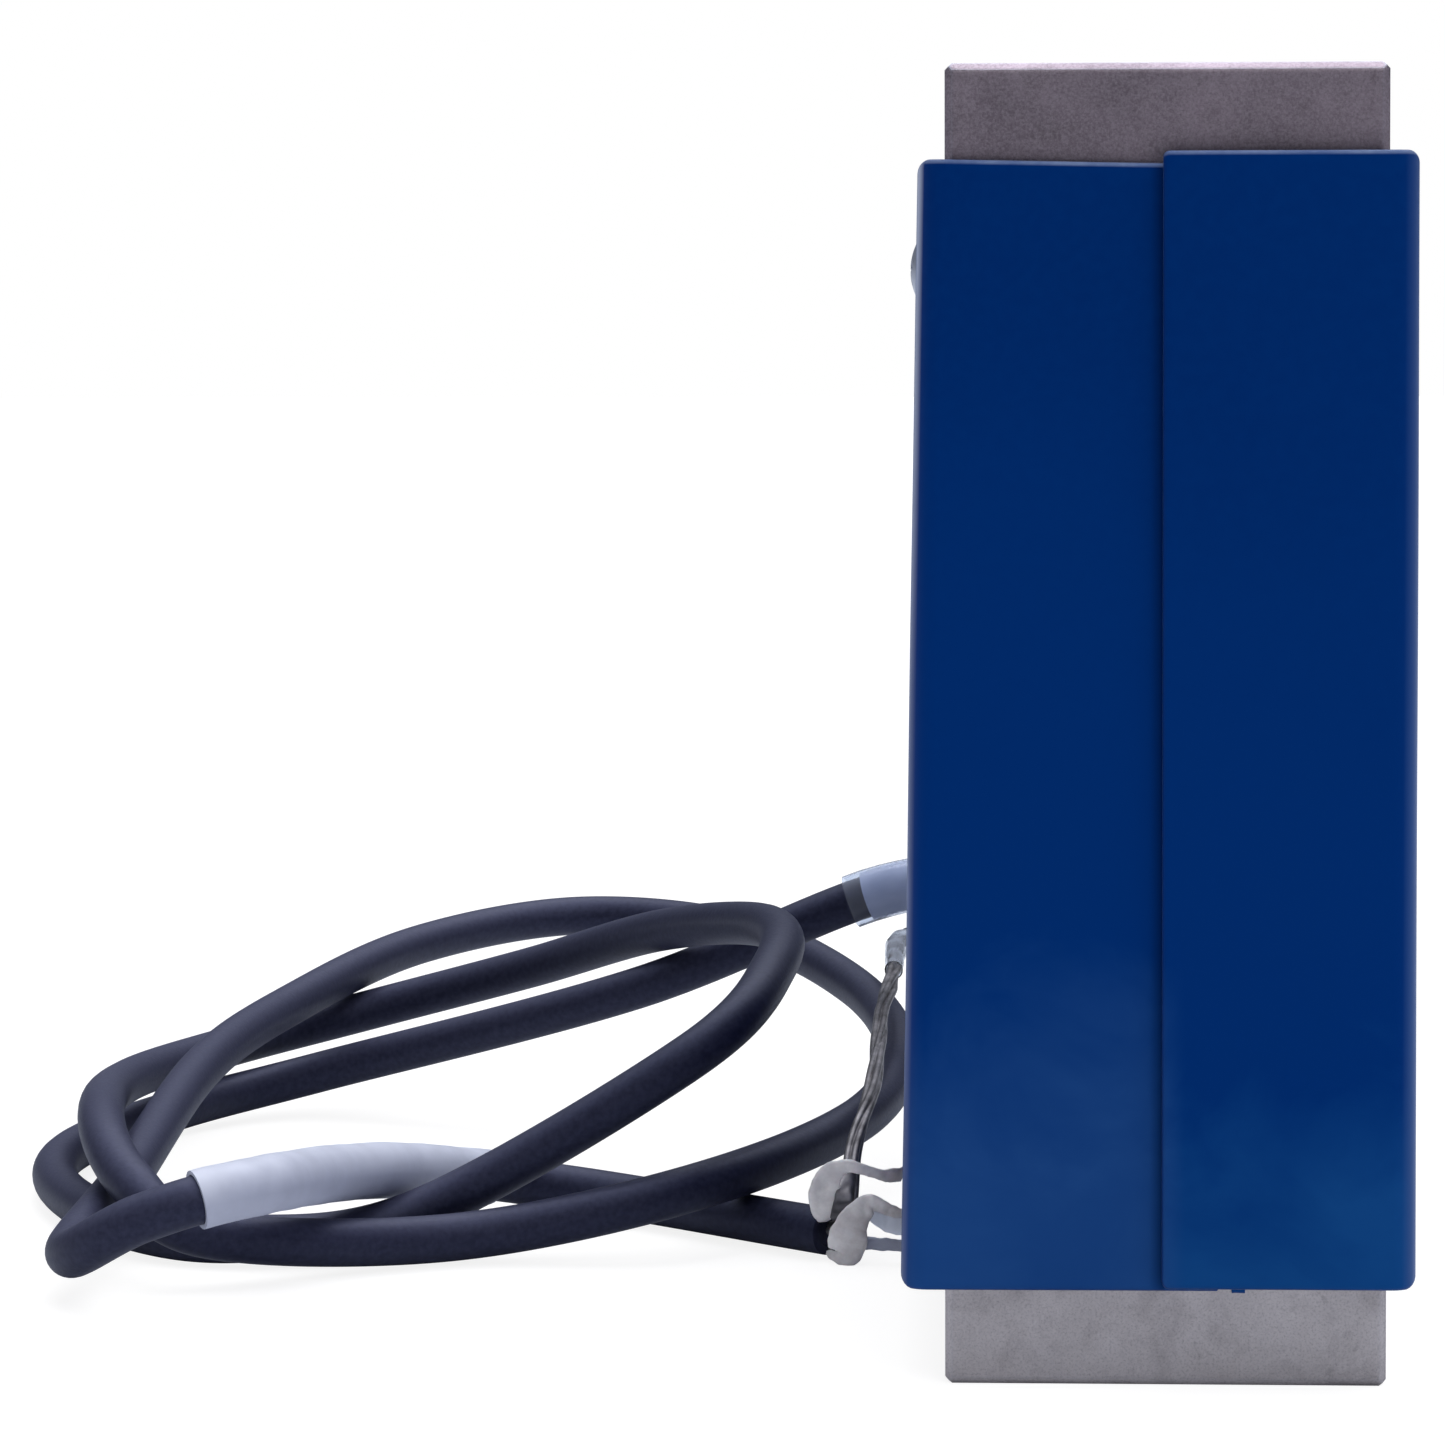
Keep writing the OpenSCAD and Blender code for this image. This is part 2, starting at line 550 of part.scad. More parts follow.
// Foil gauge on a bore's wall: side is 1 for the rear bore and level is 1 for its top
glue_t = 0.02;
gauge_x = -2 * board_unit;
module foil_gauge(side, level) {
    span = 24;
    grid_t = 0.06;
    seat_r = gauge_bore_d / 2 - glue_t;
    translate([gauge_x, side * bore_y, mid_z]) rotate([level > 0 ? 0 : 180, 0, 0]) rotate([0, 90, 0])
        rotate([0, 0, 180]) {
            arc_pad(gauge_len, seat_r, film_t, span);
            arc_pad(gauge_len * 0.6, seat_r - film_t, grid_t, span / 2);
        }
}
// Curved pad on the inside of a bore, centred on +X of its own frame
module arc_pad(len, r, t, half_span) {
    translate([0, 0, -len / 2]) linear_extrude(len) intersection() {
        difference() {
            circle(r = r, $fn = 96);
            circle(r = r - t, $fn = 96);
        }
        polygon([[0, 0], [2 * r, -2 * r * tan(half_span)], [2 * r, 2 * r * tan(half_span)]]);
    }
}
module gauge_front_upper() {
    color("goldenrod") foil_gauge(-1, 1);
}
module gauge_front_lower() {
    color("goldenrod") foil_gauge(-1, -1);
}
module gauge_rear_upper() {
    color("goldenrod") foil_gauge(1, 1);
}
module gauge_rear_lower() {
    color("goldenrod") foil_gauge(1, -1);
}

// Enamelled leads from each gauge to its two pads
module gauge_leads() {
    start_r = gauge_bore_d / 2 - film_t - lead_d - 0.13;
    color("sienna") for (s = [-1, 1], level = [-1, 1], k = [0, 1]) let (
        pad_x = lead_places(s)[k + (level > 0 ? 0 : 2)],
        rise = board_top + pad_h + lead_d / 2,
        path = [[pad_x, s * (bore_y - 1.2), mid_z + level * start_r],
            [pad_x, s * (pad_y + 2), rise + 0.9], [pad_x, s * pad_y, rise]])
        along_route(path, lead_d / 2, 0, 2, 6, 6);
}

// Silicone plugs in the two ends of the gauge bores
module plug_shape(side) {
    translate([side > 0 ? half_w - plug_t : -half_w, 0, mid_z]) rotate([90, 0, 90])
        linear_extrude(plug_t) cavity_outline(fit_gap);
}
module potting_left() {
    color("whitesmoke") plug_shape(-1);
}
module potting_right() {
    color("whitesmoke") difference() {
        union() {
            plug_shape(1);
            intersection() {
                groove(fit_gap);
                cube([beam_w, 2 * beam_d, 2 * beam_h], center = true);
            }
        }
        for (i = [0:3]) let (path = core_route(i)) wire([for (k = [1:5]) path[k]], wire_d + 2 * fit_gap);
    }
}

// Cable and what is on it
last_span = len(ROUTE) - 1;
marker_from = 35.55;
marker_to = 37.6;
clear_from = 1.3;
clear_to = 3.23;
label_from = 1.6;
label_to = 3.16;
tube_from = 7;
tube_to = 8.4;
sleeve_gap = 0.05;
label_t = 0.08;
label_r = cable_d / 2 + sleeve_gap + label_t;
module signal_cable() {
    color([0.16, 0.17, 0.24]) along_route(ROUTE, cable_d / 2, 0, last_span, rings_per_span * last_span);
}
module cable_marker() {
    color([0.8, 0.82, 0.9])
        sleeve_on_tube(ROUTE, cable_d / 2 + sleeve_gap, cable_d / 2 + marker_wall, marker_from, marker_to);
}
module sleeve_label() {
    color("white") sleeve_on_tube(ROUTE, cable_d / 2 + sleeve_gap, label_r, label_from, label_to);
}
module clear_sleeve() {
    color([0.85, 0.9, 0.95, 0.5])
        sleeve_on_tube(ROUTE, label_r + fit_gap, label_r + fit_gap + clear_wall, clear_from, clear_to);
}
module shield_wires() {
    last = len(SHIELD_ROUTE) - 1;
    color([0.5, 0.48, 0.46]) along_route(SHIELD_ROUTE, shield_d / 2, 0, last, rings_per_span * last, 6);
}
module shield_tube() {
    color([0.85, 0.9, 0.95, 0.5])
        sleeve_on_tube(SHIELD_ROUTE, tube_d / 2 - clear_wall, tube_d / 2, tube_from, tube_to, 8);
}
module white_core_upper() {
    color("white") flat_strip(WHITE_UPPER);
}
module white_core_lower() {
    color("white") along_route(WHITE_LOWER, white_wire_d / 2, 0, len(WHITE_LOWER) - 1, 6, 6);
}
// White wrap folded down over the cable's cut end, with a thin tail
module end_tape() {
    color("white") {
        flat_strip(WRAP_LUMP);
        flat_strip(WRAP_TAIL);
    }
}

s_beam();
wrap_cover();
cover_screw_left();
cover_screw_right();
upper_gasket();
lower_gasket();
gland_washer();
gland_body();
gland_seal();
gland_nut();
cable_inner_end();
inner_cores();
terminal_board();
trim_resistors();
gauge_front_upper();
gauge_front_lower();
gauge_rear_upper();
gauge_rear_lower();
gauge_leads();
potting_left();
potting_right();
signal_cable();
cable_marker();
clear_sleeve();
sleeve_label();
shield_wires();
shield_tube();
white_core_upper();
white_core_lower();
end_tape();
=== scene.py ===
"""S-type load cell in a wrapped blue cover: camera, cords, dressed pieces, materials and light.

Lengths are in metres in the part's own frame. Routes and sizes are written in millimetres, as in the
part's source, and turned into metres by MM.
"""

import json
import math

import bmesh
import bpy
from mathutils import Matrix, Vector, noise


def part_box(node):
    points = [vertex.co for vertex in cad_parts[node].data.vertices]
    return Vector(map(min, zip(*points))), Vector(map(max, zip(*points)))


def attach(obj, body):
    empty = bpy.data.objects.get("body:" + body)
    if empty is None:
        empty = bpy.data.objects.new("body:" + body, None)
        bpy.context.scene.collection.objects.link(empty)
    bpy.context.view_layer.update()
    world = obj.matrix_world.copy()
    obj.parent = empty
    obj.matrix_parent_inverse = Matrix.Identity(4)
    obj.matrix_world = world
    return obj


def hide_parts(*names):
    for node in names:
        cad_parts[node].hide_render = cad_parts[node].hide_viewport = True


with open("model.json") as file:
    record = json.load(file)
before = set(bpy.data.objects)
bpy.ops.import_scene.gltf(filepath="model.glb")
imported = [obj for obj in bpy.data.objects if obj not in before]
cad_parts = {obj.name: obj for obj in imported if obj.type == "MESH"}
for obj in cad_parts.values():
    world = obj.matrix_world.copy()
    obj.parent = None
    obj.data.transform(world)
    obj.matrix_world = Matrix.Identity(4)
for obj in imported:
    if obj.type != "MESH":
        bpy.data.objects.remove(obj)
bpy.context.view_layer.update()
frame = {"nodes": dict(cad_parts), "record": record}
MM = 0.001
BODY = "root"

# Routes of the cable and of the bare wires at its cut end, in millimetres
ROUTE = [
    (0, 36, 19), (0, 42.5, 19), (-4.5, 51.5, 19), (-16, 57.5, 19.5), (-36, 60, 11.5),
    (-61, 71, 3.5), (-71, 62.5, 1.8), (-75.5, 45, 1.8), (-74.2, 30, 1.8), (-67, 14.5, 1.8),
    (-58.5, 9.5, 1.8), (-47.5, 14, 2.8), (-29.5, 16, 13), (-24.5, 26, 17.5), (-25.5, 41, 18.5),
    (-34, 59, 16), (-45, 71.5, 11.5), (-58, 76.5, 7.5), (-68.5, 69, 5.5), (-72, 46, 6.5),
    (-68.6, 15, 8.9), (-64.9, 4, 6.5), (-59.5, 2.2, 3.4), (-45, 10.5, 1.8), (-29.5, 14, 4.5),
    (-19, 33, 6), (-16.5, 55, 7.5), (-20, 76, 9.5), (-29.5, 91, 12), (-43, 97, 12.5),
    (-55, 85.5, 11.5), (-62.5, 65, 9.5), (-66, 43, 8), (-66.8, 13, 4.9), (-67.6, -3, 3.2),
    (-62.3, -7.6, 6.2), (-56, -4.4, 7.6), (-49.5, 16, 5.25), (-39, 28, 2.1), (-20.5, 13.5, 1.8),
]
SHIELD_ROUTE = [
    (-20.3, 13.3, 1.9), (-19.3, 12.7, 2.4), (-19.1, 13.8, 4.2), (-18.9, 17.5, 6.6),
    (-18, 25.5, 8.8), (-17.5, 38, 10.2), (-17, 51.5, 11.2), (-16.5, 64, 12), (-15.5, 76, 13),
    (-12, 86, 11), (-9, 92, 5.5), (-7.5, 96, 0.8),
]
# Stations of the flat pieces at the cut end: x, y, z, half width, half thickness along Y
WHITE_UPPER = [
    (-20.4, 12.6, 2.7, 0.5, 0.2), (-20.7, 12.7, 3.3, 0.85, 0.26), (-20.75, 12.8, 4.1, 1, 0.3),
    (-20.6, 12.8, 4.9, 1, 0.3), (-20.2, 12.6, 5.75, 0.75, 0.3), (-19.3, 12.2, 6.3, 0.48, 0.28),
    (-18.27, 12.2, 6.16, 0.36, 0.25), (-17, 12.8, 5.67, 0.42, 0.22), (-16, 14, 5.45, 0.5, 0.2),
    (-15.6, 14.6, 5.4, 0.5, 0.18),
]
WRAP_LUMP = [
    (-20.6, 12.4, 0.6, 0.3, 0.2), (-19.9, 11.6, 0.45, 0.42, 0.3), (-19.33, 11.3, 0.7, 0.95, 0.38),
    (-19.2, 11.3, 1.3, 1.25, 0.42), (-19.1, 11.3, 2, 1.25, 0.42), (-18.85, 11.3, 2.75, 1.05, 0.38),
    (-18.35, 11.3, 3.5, 0.88, 0.34), (-17.75, 11.35, 4.02, 0.62, 0.28), (-17.2, 11.4, 4, 0.5, 0.22),
    (-16.6, 11.6, 3.6, 0.45, 0.16), (-16, 12, 3.3, 0.35, 0.12), (-15.5, 12.3, 3.15, 0.3, 0.1),
]
WRAP_FILM = [
    (-17.9, 11.8, 3.25, 0.25, 0.1), (-17.3, 11.9, 2.95, 0.5, 0.1), (-16.7, 12, 2.75, 0.66, 0.12),
    (-16, 12.2, 2.6, 0.78, 0.12), (-15.3, 12.5, 2.5, 0.82, 0.1),
]
WHITE_LOWER = [
    (-20.05, 12.75, 1.05, 0.3, 0.3), (-19, 12.3, 1.3, 0.34, 0.3), (-17.6, 12, 1.3, 0.42, 0.3),
    (-16.4, 12.1, 1.2, 0.42, 0.28), (-15.4, 12.4, 1.1, 0.38, 0.25), (-14.8, 12.8, 1.05, 0.34, 0.25),
]
SHIELD_ROOT = [
    (-19.5, 12, 2.7, 0.85, 0.2), (-19.5, 12, 3.4, 0.75, 0.22), (-19.45, 12.2, 4.2, 0.6, 0.25),
    (-19.35, 13.1, 4.9, 0.5, 0.28), (-19.15, 14.3, 5.6, 0.4, 0.3), (-19, 15.6, 6.2, 0.3, 0.3),
]
CABLE_D, SHIELD_D = 3.1, 1.2

# Where the sleeves start and end, counted in points of their route
MARKER, LABEL, CLEAR, SHIELD_TUBE = (35.55, 37.6), (1.6, 3.16), (1.3, 3.23), (86 / 12, 109 / 12)
SHIELD_STEPS = 12

# How deep the flat pieces are crumpled, and the length of one turn of the shield wires, in metres
CRUMPLE, TWIST = 0.00016, 0.06

# Sizes of the sheet cover, in millimetres
SHEET_T, RIM_R, BEND_R = 0.9, 0.3, 1.5
COVER_LOW, COVER_TOP, CLIMB_TOP, CLIMB_FOOT = 5.75, 70.4, 0.7, 0.3
SIDE_X, FRONT_Y = 13.35, 26.05
LEFT_FLARE, FLAP_GAP = 1.0, 0.1
INNER_END, OUTER_END = 4.5, -0.3
CORNER_R, LEFT_RISE = 0.5, 0.28
GLAND_Z, GLAND_HOLE_R = 19, 6.75

# Cover screws and the M12 thread, in millimetres
HEAD_R, HEAD_H, SHANK_R = 2.0, 0.55, 1.25
THREAD_PITCH, THREAD_WALL_R, THREAD_TIP_R, THREAD_DEPTH = 1.75, 5.1, 4.72, 17.5
BEAM_H = 76.2


# Camera at the photograph's viewing angle

def place_camera():
    """Long lens close to level, a little to the left of the beam, as in the photograph."""
    yaw, pitch, roll = math.radians(2.688), math.radians(2.764), math.radians(-0.15)
    eye = Vector((-11.57, -321.6, 62.7)) * MM
    forward = Vector((-math.sin(yaw) * math.cos(pitch), math.cos(yaw) * math.cos(pitch), -math.sin(pitch)))
    right = forward.cross(Vector((0, 0, 1))).normalized()
    up = right.cross(forward)
    side = right * math.cos(roll) + up * math.sin(roll)
    top = up * math.cos(roll) - right * math.sin(roll)
    data = bpy.data.cameras.new("camera")
    data.lens = 128.55
    data.sensor_width = 36
    data.shift_y = -0.12
    data.clip_start = 0.01
    camera = bpy.data.objects.new("camera", data)
    bpy.context.scene.collection.objects.link(camera)
    turn = Matrix((side, top, -forward)).transposed()
    camera.matrix_world = Matrix.Translation(eye) @ turn.to_4x4()
    bpy.context.scene.camera = camera


place_camera()


# Mesh helpers

def new_object(name, vertices, faces, material=None, smooth_angle=40):
    mesh = bpy.data.meshes.new(name)
    mesh.from_pydata([tuple(v) for v in vertices], [], faces)
    mesh.validate()
    tidy = bmesh.new()
    tidy.from_mesh(mesh)
    bmesh.ops.recalc_face_normals(tidy, faces=tidy.faces)
    tidy.to_mesh(mesh)
    tidy.free()
    mesh.shade_smooth()
    mesh.set_sharp_from_angle(angle=math.radians(smooth_angle))
    obj = bpy.data.objects.new(name, mesh)
    bpy.context.scene.collection.objects.link(obj)
    if material:
        mesh.materials.append(material)
    return obj


def curve_point(route, t):
    """Place on the smooth curve through a route's points, in metres, as the part's source has it."""
    last = len(route) - 1
    i = min(int(t), last - 1)
    u = t - i
    b, c = Vector(route[i]), Vector(route[i + 1])
    a = Vector(route[i - 1]) if i > 0 else 2 * b - c
    d = Vector(route[i + 2]) if i + 2 <= last else 2 * c - b
    p = 0.5 * (2 * b + (c - a) * u + (2 * a - 5 * b + 4 * c - d) * u * u + (3 * b - a - 3 * c + d) * u ** 3)
    return p * MM


def along(route, start, end, per_span):
    """Points of a stretch of the route's curve, from one point number to another."""
    steps = max(2, round((end - start) * per_span))
    return [curve_point(route, start + (end - start) * k / steps) for k in range(steps + 1)]


def frames(path):
    """Two directions square to the path at each point, turning as little as they can."""
    runs = [(path[min(i + 1, len(path) - 1)] - path[max(i - 1, 0)]).normalized() for i in range(len(path))]
    side = runs[0].cross(Vector((0, 0, 1)))
    if side.length < 0.1:
        side = runs[0].cross(Vector((1, 0, 0)))
    side.normalize()
    found = []
    for run in runs:
        side = (side - run * side.dot(run)).normalized()
        found.append((run, side, run.cross(side)))
    return found


def ring(point, turn, radius, sides):
    """Circle of points square to the path."""
    _, side, up = turn
    return [point + side * (radius * math.cos(math.tau * k / sides))
            + up * (radius * math.sin(math.tau * k / sides)) for k in range(sides)]


def join_rings(rings, closed=False):
    """Vertices and faces of a skin over rings of equal count, with end caps unless it closes on itself."""
    n = len(rings[0])
    vertices = [v for one in rings for v in one]
    pairs = len(rings) if closed else len(rings) - 1
    faces = []
    for i in range(pairs):
        a, b = i * n, ((i + 1) % len(rings)) * n
        faces += [(a + k, a + (k + 1) % n, b + (k + 1) % n, b + k) for k in range(n)]
    if not closed:
        faces += [tuple(range(n))[::-1], tuple((len(rings) - 1) * n + k for k in range(n))]
    return vertices, faces


def tube(name, path, radius, sides, material, hollow_end):
    """Solid tube along a path, its far end cut square with the filling set back by hollow_end."""
    turns = frames(path)
    rings = [ring(p, t, radius, sides) for p, t in zip(path, turns)]
    run = turns[-1][0]
    for share, forward in ((0.97, 0.03), (0.66, 0.03), (0.62, -hollow_end), (0.3, -hollow_end)):
        rings.append(ring(path[-1] + run * forward * MM, turns[-1], radius * share, sides))
    vertices, faces = join_rings(rings)
    return new_object(name, vertices, faces, material)


def sleeve(name, path, inner, outer, sides, material, wobble=0.0, lip=0.0):
    """Open sleeve along a path, its wall uneven by wobble and its ends wider by lip."""
    turns = frames(path)
    count = len(path)
    rings = []
    for layer, radius in ((0, outer), (1, inner)):
        order = range(count) if layer == 0 else range(count - 1, -1, -1)
        for i in order:
            edge = min(i, count - 1 - i)
            grow = lip * max(0.0, 1 - edge / 3)
            circle = ring(path[i], turns[i], radius + grow, sides)
            if wobble:
                circle = [c + (c - path[i]).normalized() * wobble * noise.noise(c * 420) for c in circle]
            rings.append(circle)
    vertices, faces = join_rings(rings, closed=True)
    return new_object(name, vertices, faces, material)


def lathe(name, profile, sides, material, place):
    """Solid turned about +X from a closed run of (along, radius) pairs, its ends on the axis."""
    vertices, faces, rows = [], [], []
    for x, r in profile:
        if r < 1e-6:
            rows.append([len(vertices)])
            vertices.append(Vector((x, 0, 0)) * MM)
        else:
            rows.append([len(vertices) + k for k in range(sides)])
            turns = [math.tau * k / sides for k in range(sides)]
            vertices += [Vector((x, r * math.cos(a), r * math.sin(a))) * MM for a in turns]
    for a, b in zip(rows, rows[1:]):
        for k in range(sides):
            n = (k + 1) % sides
            face = [a[k % len(a)], a[n % len(a)], b[n % len(b)], b[k % len(b)]]
            face = [v for j, v in enumerate(face) if v not in face[:j]]
            if len(face) > 2:
                faces.append(tuple(face))
    vertices = [place @ v for v in vertices]
    return new_object(name, vertices, faces, material)


def carve(obj, cutters, smooth_angle=40):
    """Cuts the cutters out of obj for good and removes them."""
    for cutter in cutters:
        step = obj.modifiers.new("cut", "BOOLEAN")
        step.operation = "DIFFERENCE"
        step.solver = "EXACT"
        step.object = cutter
    shaped = bpy.data.meshes.new_from_object(obj.evaluated_get(bpy.context.evaluated_depsgraph_get()))
    obj.modifiers.clear()
    old = obj.data
    obj.data = shaped
    bpy.data.meshes.remove(old)
    for cutter in cutters:
        bpy.data.objects.remove(cutter)
    obj.data.shade_smooth()
    obj.data.set_sharp_from_angle(angle=math.radians(smooth_angle))


def box_cutter(low, high, turn):
    """Box between two corners in millimetres, turned into place."""
    spans = list(zip(low, high))
    corners = [turn @ (Vector((x, y, z)) * MM) for x in spans[0] for y in spans[1] for z in spans[2]]
    faces = [(0, 1, 3, 2), (4, 6, 7, 5), (0, 4, 5, 1), (2, 3, 7, 6), (0, 2, 6, 4), (1, 5, 7, 3)]
    return new_object("cutter", corners, faces)


# Materials

def shader(name, **constants):
    """New material with a principled shader, and its constants on the shader's own sockets."""
    made = bpy.data.materials.new(name)
    made.use_nodes = True
    core = made.node_tree.nodes["Principled BSDF"]
    for key, value in constants.items():
        core.inputs[key.replace("_", " ")].default_value = value
    return made, core


class Graph:
    """Short names for the nodes that the materials use."""

    def __init__(self, made):
        self.nodes, self.links = made.node_tree.nodes, made.node_tree.links
        self.place = self.nodes.new("ShaderNodeTexCoord").outputs["Object"]

    def noise(self, scale, detail=4, rough=0.55, distort=0.0):
        made = self.nodes.new("ShaderNodeTexNoise")
        made.inputs["Scale"].default_value = scale
        made.inputs["Detail"].default_value = detail
        made.inputs["Roughness"].default_value = rough
        made.inputs["Distortion"].default_value = distort
        self.links.new(self.place, made.inputs["Vector"])
        return made.outputs["Fac"]

    def spread(self, value, low, high, to_low=0.0, to_high=1.0):
        """Turns the range from low to high into the range from to_low to to_high."""
        made = self.nodes.new("ShaderNodeMapRange")
        for key, number in (("From Min", low), ("From Max", high), ("To Min", to_low), ("To Max", to_high)):
            made.inputs[key].default_value = number
        self.links.new(value, made.inputs["Value"])
        return made.outputs["Result"]

    def tint(self, share, first, second):
        """Mix of two colours, each a value or a socket."""
        made = self.nodes.new("ShaderNodeMix")
        made.data_type = "RGBA"
        self.links.new(share, made.inputs[0])
        for socket, value in ((made.inputs[6], first), (made.inputs[7], second)):
            if isinstance(value, bpy.types.NodeSocket):
                self.links.new(value, socket)
            else:
                socket.default_value = (*value, 1)
        return made.outputs[2]

    def edges(self, radius):
        """1 along sharp edges and rims, 0 on flat faces."""
        soft = self.nodes.new("ShaderNodeBevel")
        soft.samples = 6
        soft.inputs["Radius"].default_value = radius
        flat = self.nodes.new("ShaderNodeNewGeometry")
        dot = self.nodes.new("ShaderNodeVectorMath")
        dot.operation = "DOT_PRODUCT"
        self.links.new(soft.outputs["Normal"], dot.inputs[0])
        self.links.new(flat.outputs["True Normal"], dot.inputs[1])
        return self.spread(dot.outputs["Value"], 0.985, 0.9)

    def times(self, first, second):
        made = self.nodes.new("ShaderNodeMath")
        made.operation = "MULTIPLY"
        for socket, value in zip(made.inputs, (first, second)):
            if isinstance(value, bpy.types.NodeSocket):
                self.links.new(value, socket)
            else:
                socket.default_value = value
        return made.outputs[0]

    def total(self, first, second):
        made = self.nodes.new("ShaderNodeMath")
        made.operation = "ADD"
        self.links.new(first, made.inputs[0])
        self.links.new(second, made.inputs[1])
        return made.outputs[0]

    def axis(self, name):
        """Place along one axis of the shared frame, in metres."""
        made = self.nodes.new("ShaderNodeSeparateXYZ")
        self.links.new(self.place, made.inputs[0])
        return made.outputs[name]

    def facing(self, name):
        """How far the surface faces along one axis, -1 to 1."""
        made = self.nodes.new("ShaderNodeNewGeometry")
        parts = self.nodes.new("ShaderNodeSeparateXYZ")
        self.links.new(made.outputs["Normal"], parts.inputs[0])
        return parts.outputs[name]

    def bump(self, core, value, depth, strength=1.0, bevel=0.0):
        """Relief of the shader's surface, over edges that are rounded by bevel."""
        made = self.nodes.new("ShaderNodeBump")
        made.inputs["Distance"].default_value = depth
        made.inputs["Strength"].default_value = strength
        self.links.new(value, made.inputs["Height"])
        if bevel:
            soft = self.nodes.new("ShaderNodeBevel")
            soft.samples = 4
            soft.inputs["Radius"].default_value = bevel
            self.links.new(soft.outputs["Normal"], made.inputs["Normal"])
        self.links.new(made.outputs["Normal"], core.inputs["Normal"])


def beam_steel():
    """Satin nickel plating, darker towards the top, with faint smudges, fine grain and a painted highlight
    along the edges, strongest on the upward ones.
    """
    made, core = shader("beam_steel", Metallic=1.0)
    g = Graph(made)
    # Broad tone: foot, head and the upward faces
    level = g.spread(g.axis("Z"), 0.006, 0.068)
    broad = g.spread(g.noise(130, 5, 0.6, 0.3), 0.36, 0.64)
    smudges = g.spread(g.noise(260, 5, 0.68, 0.4), 0.5, 0.68)
    grain = g.noise(6200, 3, 0.7)
    base = g.tint(broad, (0.535, 0.487, 0.479), (0.619, 0.565, 0.554))
    head = g.tint(broad, (0.222, 0.176, 0.202), (0.337, 0.269, 0.304))
    top = g.tint(broad, (0.215, 0.213, 0.222), (0.25, 0.247, 0.258))
    base = g.tint(level, base, g.tint(g.spread(g.facing("Z"), 0.75, 0.95), head, top))
    # Smudges and dark spots
    base = g.tint(g.times(smudges, g.spread(level, 0, 1, 0.3, 0.5)), base, (0.125, 0.1, 0.108))
    spots = g.spread(g.noise(700, 4, 0.7, 0.6), 0.6, 0.72)
    near = g.spread(g.noise(90, 2, 0.5), 0.46, 0.58)
    base = g.tint(g.times(g.times(spots, near), 0.5), base, (0.08, 0.06, 0.065))
    # Fine light and dark grain, then a painted highlight along the edges, strongest on the upward ones
    light = g.tint(level, (0.8, 0.74, 0.71), (0.5, 0.43, 0.46))
    base = g.tint(g.times(g.spread(grain, 0.36, 0.64), g.spread(level, 0, 1, 0.26, 0.46)), base, light)
    base = g.tint(g.spread(g.noise(7400, 2, 0.6), 0.5, 0.7, 0, 0.3), base, (0.13, 0.11, 0.12))
    edge_highlight_weight = g.spread(g.facing("Z"), 0.1, 0.6, 0.25, 0.9)
    base = g.tint(g.times(g.edges(0.0003), edge_highlight_weight), base, (0.53, 0.545, 0.6))
    g.links.new(base, core.inputs["Base Color"])
    g.links.new(g.spread(g.noise(300, 4, 0.6), 0.3, 0.7, 0.4, 0.5), core.inputs["Roughness"])
    g.bump(core, g.noise(2600, 3, 0.6), 0.000014, 0.9, bevel=0.00045)
    return made


